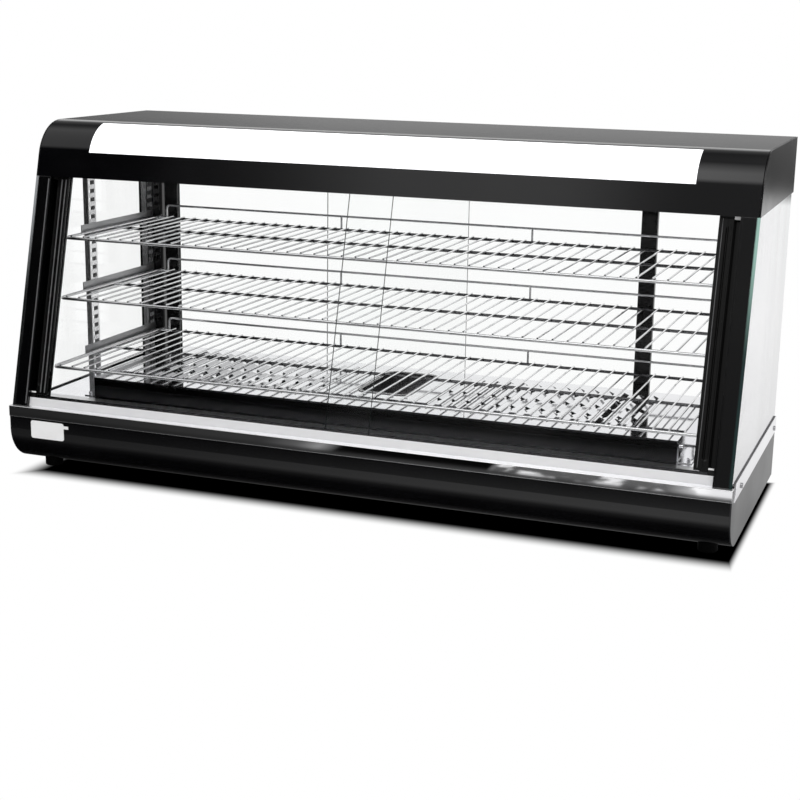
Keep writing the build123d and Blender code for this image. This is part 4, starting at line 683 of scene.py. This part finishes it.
def rear_trim():
    """Screws of the rear wall, the dial's ticks and the switches' on and off marks."""
    screw_places = [(x, z) for z, row in SCREW_ROWS for x in row]
    for number, (x, z) in enumerate(screw_places, 1):
        add_piece(f"rear_screw_{number}", *screw_head(x, z), "zinc_steel", "case")
    middle = Vector((KNOB_PLACE[0], BACK_Y, KNOB_PLACE[1]))
    for number, degrees in enumerate(DIAL_TURNS, 1):
        turn = math.radians(degrees)
        ray = Vector((math.cos(turn), 0, math.sin(turn)))
        line_mark(f"dial_tick_{number}", *(middle + ray * radius for radius in DIAL_RADII))
    for number, x in enumerate(SWITCH_X, 1):
        on = Vector((x, BACK_Y, ON_MARK_Z))
        reach = UPWARD * MARK_REACH
        line_mark(f"switch_on_mark_{number}", on - reach, on + reach)
        ring_mark(f"switch_off_mark_{number}", Vector((x, BACK_Y, OFF_MARK_Z)))


# The studio. Matt surfaces get the fill light from all round. The other levels are as
# glossy surfaces see them, against a white wall of 1.
FILL_LIGHT = 0.8
FRONT_LOW_LEFT = 0.005
FRONT_LOW_RIGHT = 0.20
FRONT_GLOW = 0.86
OVERHEAD_LEFT = 0.78
OVERHEAD_RIGHT = 2.2
OVERHEAD_FAR_RIGHT = 1.8

# Its sky. X is that part of the ray's direction, and turn is the ray's angle in degrees,
# from 0 ahead of the case through 90 overhead to 180 behind it.
FRONT_LOW_X = (-0.50, -0.20)
WINDOW_X = (
    (-0.52, 0.0), (-0.495, 0.03), (-0.43, 0.24), (-0.36, 0.96), (-0.33, 1.0),
    (-0.25, 0.97), (-0.19, 0.12),
)
WINDOW_TURN = (10, 24)
LEFT_LAMP_TURN = ((38, 0.0), (46, 1.0), (106, 1.0), (126, 0.30))
RIGHT_LAMP_TURN = ((34, 0.0), (46, 1.0), (64, 1.0), (94, 0.12))
FAR_RIGHT_X = (-0.16, -0.12)
LAMPS_MEET_X = (-0.50, -0.25)
WALL_TURN = ((126, 0.12), (146, 0.30), (158, 1.0), (170, 1.0), (174, 0.0), (180, 0.0))
HORIZON_X = ((-0.60, 0.35), (-0.50, 0.64), (-0.40, 0.95), (-0.15, 1.0))
HORIZON_TURN = (
    (169, 0.0), (174, 0.17), (175.2, 0.24), (175.8, 0.33), (176.4, 0.44), (180, 0.48),
)
WALL_FROM_TURN = (100, 126)

# Its floor, by place. The bands in front are narrow, because the sill, the lip and the
# rolled front mirror the floor close to the case.
FRONT_BANDS_Y = (
    (-0.62, 0.04), (-0.556, 0.05), (-0.535, 0.16), (-0.50, 0.26), (-0.45, 0.45),
    (-0.39, 0.85), (-0.31, 0.85), (-0.275, 0.18), (-0.25, 0.03), (-0.215, 0.01),
    (-0.185, 0.06), (-0.16, 0.13), (0.24, 0.20),
)
FRONT_BANDS_X = ((-0.65, 0.26), (-0.35, 0.42), (0.0, 0.72), (0.45, 1.0))
LIP_BAND_X = (
    (-0.90, 0.015), (-0.30, 0.035), (-0.23, 0.10), (-0.19, 0.26), (-0.165, 0.10),
    (-0.150, 0.002), (0.135, 0.002), (0.150, 0.48), (0.36, 0.52), (0.45, 0.62),
    (0.50, 0.85),
)
LIP_BAND_Y = (-0.58, -0.56)
PATCHED_FROM_X = (0.137, 0.148)
PATCHED_TO_X = (0.44, 0.52)
PATCH_SCALE = 16.0
PATCH_RANGE = (0.43, 0.56)
PATCH_LEVELS = (0.2, 1.7)
SIDE_Y = ((-0.30, 0.60), (0.0, 0.64), (0.22, 0.86), (0.42, 0.90), (0.85, 0.92), (1.7, 1.0))
BESIDE_X = (0.598, 0.601)
BEHIND_Y = (0.25, 0.32)
SLANT_X = 1.23
SLANT_STEEPNESS = 4.0
DISTANT_SLANT = (
    (4.6, 0.01), (4.9, 0.02), (5.3, 0.05), (5.8, 0.11), (6.3, 0.14), (6.6, 0.22), (7.5, 0.35),
)
DISTANT_Y = (4.35, 4.9)

FLOOR_HALF = 40.0
FLOOR_COLOUR = (0.8, 0.8, 0.8)
FRONT_SHADOW_Y = (-0.258, -0.208)
REAR_SHADOW_Y = (0.206, 0.220)
LEFT_SHADOW_X = (-0.598, -0.552)
RIGHT_SHADOW_X = (0.597, 0.609)

KEY_PLACE = Vector((0.0, -0.9, 2.9))
KEY_TARGET = Vector((0, 0, 0.3))
KEY_SIZE = (3.0, 1.6)
KEY_POWER = 38.0


def glossy_sky(tree, direction):
    """What gloss and metal see: a dark room in front with a soft glow on its left, a
    wide lamp overhead that leans to the front, and a white wall behind."""
    x = direction["X"]
    ahead = tree.times(direction["Y"], -1.0)
    above = tree.largest(direction["Z"], 0.0)
    turn = tree.math("DEGREES", tree.math("ARCTAN2", above, ahead))
    low = tree.spread(x, *FRONT_LOW_X, FRONT_LOW_LEFT, FRONT_LOW_RIGHT)
    risen = tree.spread(turn, *WINDOW_TURN, 0.0, FRONT_GLOW, smooth=True)
    front = tree.math("ADD", low, tree.times(tree.ramp(x, WINDOW_X), risen))
    left_lamp = tree.times(tree.ramp(turn, LEFT_LAMP_TURN), OVERHEAD_LEFT)
    right_level = tree.spread(x, *FAR_RIGHT_X, OVERHEAD_RIGHT, OVERHEAD_FAR_RIGHT)
    right_lamp = tree.times(tree.ramp(turn, RIGHT_LAMP_TURN), right_level)
    lamp = tree.mix(tree.rise(x, *LAMPS_MEET_X), left_lamp, right_lamp)
    horizon = tree.times(tree.ramp(x, HORIZON_X), tree.ramp(turn, HORIZON_TURN))
    wall = tree.largest(tree.ramp(turn, WALL_TURN), horizon)
    return tree.mix(tree.rise(turn, *WALL_FROM_TURN), tree.largest(front, lamp), wall)


def studio_world():
    """White all round for the camera and for glass, and the studio's sky for gloss."""
    world = bpy.data.worlds.new("studio")
    world.use_nodes = True
    scene.world = world
    tree = Tree(world.node_tree)
    rays = tree.node("LightPath").outputs
    sky = glossy_sky(tree, tree.split(tree.node("TexCoord").outputs["Generated"]))
    level = tree.mix(rays["Is Glossy Ray"], FILL_LIGHT, sky)
    seen = tree.largest(rays["Is Camera Ray"], rays["Is Transmission Ray"])
    background = tree.nodes["Background"]
    background.inputs["Color"].default_value = rgba((1, 1, 1))
    tree.feed(background.inputs["Strength"], tree.mix(seen, level, 1.0))


def glossy_floor(tree, x, y, patches):
    """What gloss and metal see of the floor: bands in front, of which the lip mirrors
    the farthest one, a light floor beside and behind, and a dark one far off."""
    front = tree.times(tree.ramp(y, FRONT_BANDS_Y), tree.ramp(x, FRONT_BANDS_X))
    lip = tree.ramp(x, LIP_BAND_X)
    patched = tree.times(tree.rise(x, *PATCHED_FROM_X), tree.fall(x, *PATCHED_TO_X))
    lip = tree.mix(patched, lip, tree.times(lip, patches))
    front = tree.mix(tree.rise(y, *LIP_BAND_Y), lip, front)
    aslant = tree.times(tree.math("SUBTRACT", x, SLANT_X), SLANT_STEEPNESS)
    distant = tree.ramp(tree.math("SUBTRACT", y, aslant), DISTANT_SLANT)
    side = tree.mix(tree.rise(y, *DISTANT_Y), tree.ramp(y, SIDE_Y), distant)
    outside = tree.largest(tree.rise(x, *BESIDE_X), tree.rise(y, *BEHIND_Y))
    return tree.mix(outside, front, side)


def painted_contact_shadow(tree, x, y):
    """Painted shadow on the floor round the case: no light under it, with soft edges that are
    wide in front, below the rolled panel, and on the left, and narrow elsewhere."""
    return tree.largest(
        tree.fall(y, *FRONT_SHADOW_Y, smooth=True),
        tree.rise(y, *REAR_SHADOW_Y, smooth=True),
        tree.fall(x, *LEFT_SHADOW_X, smooth=True),
        tree.rise(x, *RIGHT_SHADOW_X, smooth=True),
    )


def studio_floor():
    """A plain white floor with a painted soft contact shadow round the case's footprint."""
    half = FLOOR_HALF
    mesh = bpy.data.meshes.new("studio_floor")
    corners = [(-half, -half, 0), (half, -half, 0), (half, half, 0), (-half, half, 0)]
    mesh.from_pydata(corners, [], [(0, 1, 2, 3)])
    floor = bpy.data.objects.new("studio_floor", mesh)
    scene.collection.objects.link(floor)
    material = bpy.data.materials.new("studio_floor")
    material.use_nodes = True
    tree = Tree(material.node_tree)
    tree.nodes.remove(tree.nodes["Principled BSDF"])
    rays = tree.node("LightPath").outputs
    place = tree.node("TexCoord").outputs["Object"]
    split = tree.split(place)
    shown = tree.node("Emission")
    tree.feed(shown.inputs["Strength"], painted_contact_shadow(tree, split["X"], split["Y"]))
    cloud = tree.node("TexNoise")
    tree.links.new(place, cloud.inputs["Vector"])
    cloud.inputs["Scale"].default_value = PATCH_SCALE
    patches = tree.spread(cloud.outputs["Fac"], *PATCH_RANGE, *PATCH_LEVELS, smooth=True)
    mirror = tree.node("Emission")
    tree.feed(mirror.inputs["Strength"], glossy_floor(tree, split["X"], split["Y"], patches))
    lit = tree.node("BsdfDiffuse")
    lit.inputs["Color"].default_value = rgba(FLOOR_COLOUR)
    plain = tree.shaders(rays["Is Glossy Ray"], lit.outputs[0], mirror.outputs[0])
    seen = tree.largest(rays["Is Camera Ray"], rays["Is Transmission Ray"])
    out = tree.shaders(seen, plain, shown.outputs[0])
    tree.links.new(out, tree.nodes["Material Output"].inputs["Surface"])
    mesh.materials.append(material)


def key_softbox():
    """A soft lamp that lights matt surfaces; gloss sees the sky's own overhead lamp."""
    data = bpy.data.lights.new("key_softbox", "AREA")
    data.shape = "RECTANGLE"
    data.size, data.size_y = KEY_SIZE
    data.energy = KEY_POWER
    lamp = bpy.data.objects.new("key_softbox", data)
    aim = (KEY_TARGET - KEY_PLACE).to_track_quat("-Z", "Y")
    lamp.matrix_world = Matrix.Translation(KEY_PLACE) @ aim.to_matrix().to_4x4()
    lamp.visible_glossy = False
    scene.collection.objects.link(lamp)


scene.view_settings.view_transform = "Standard"
photo_camera()
dress()
front_trim()
rear_trim()
studio_world()
studio_floor()
key_softbox()
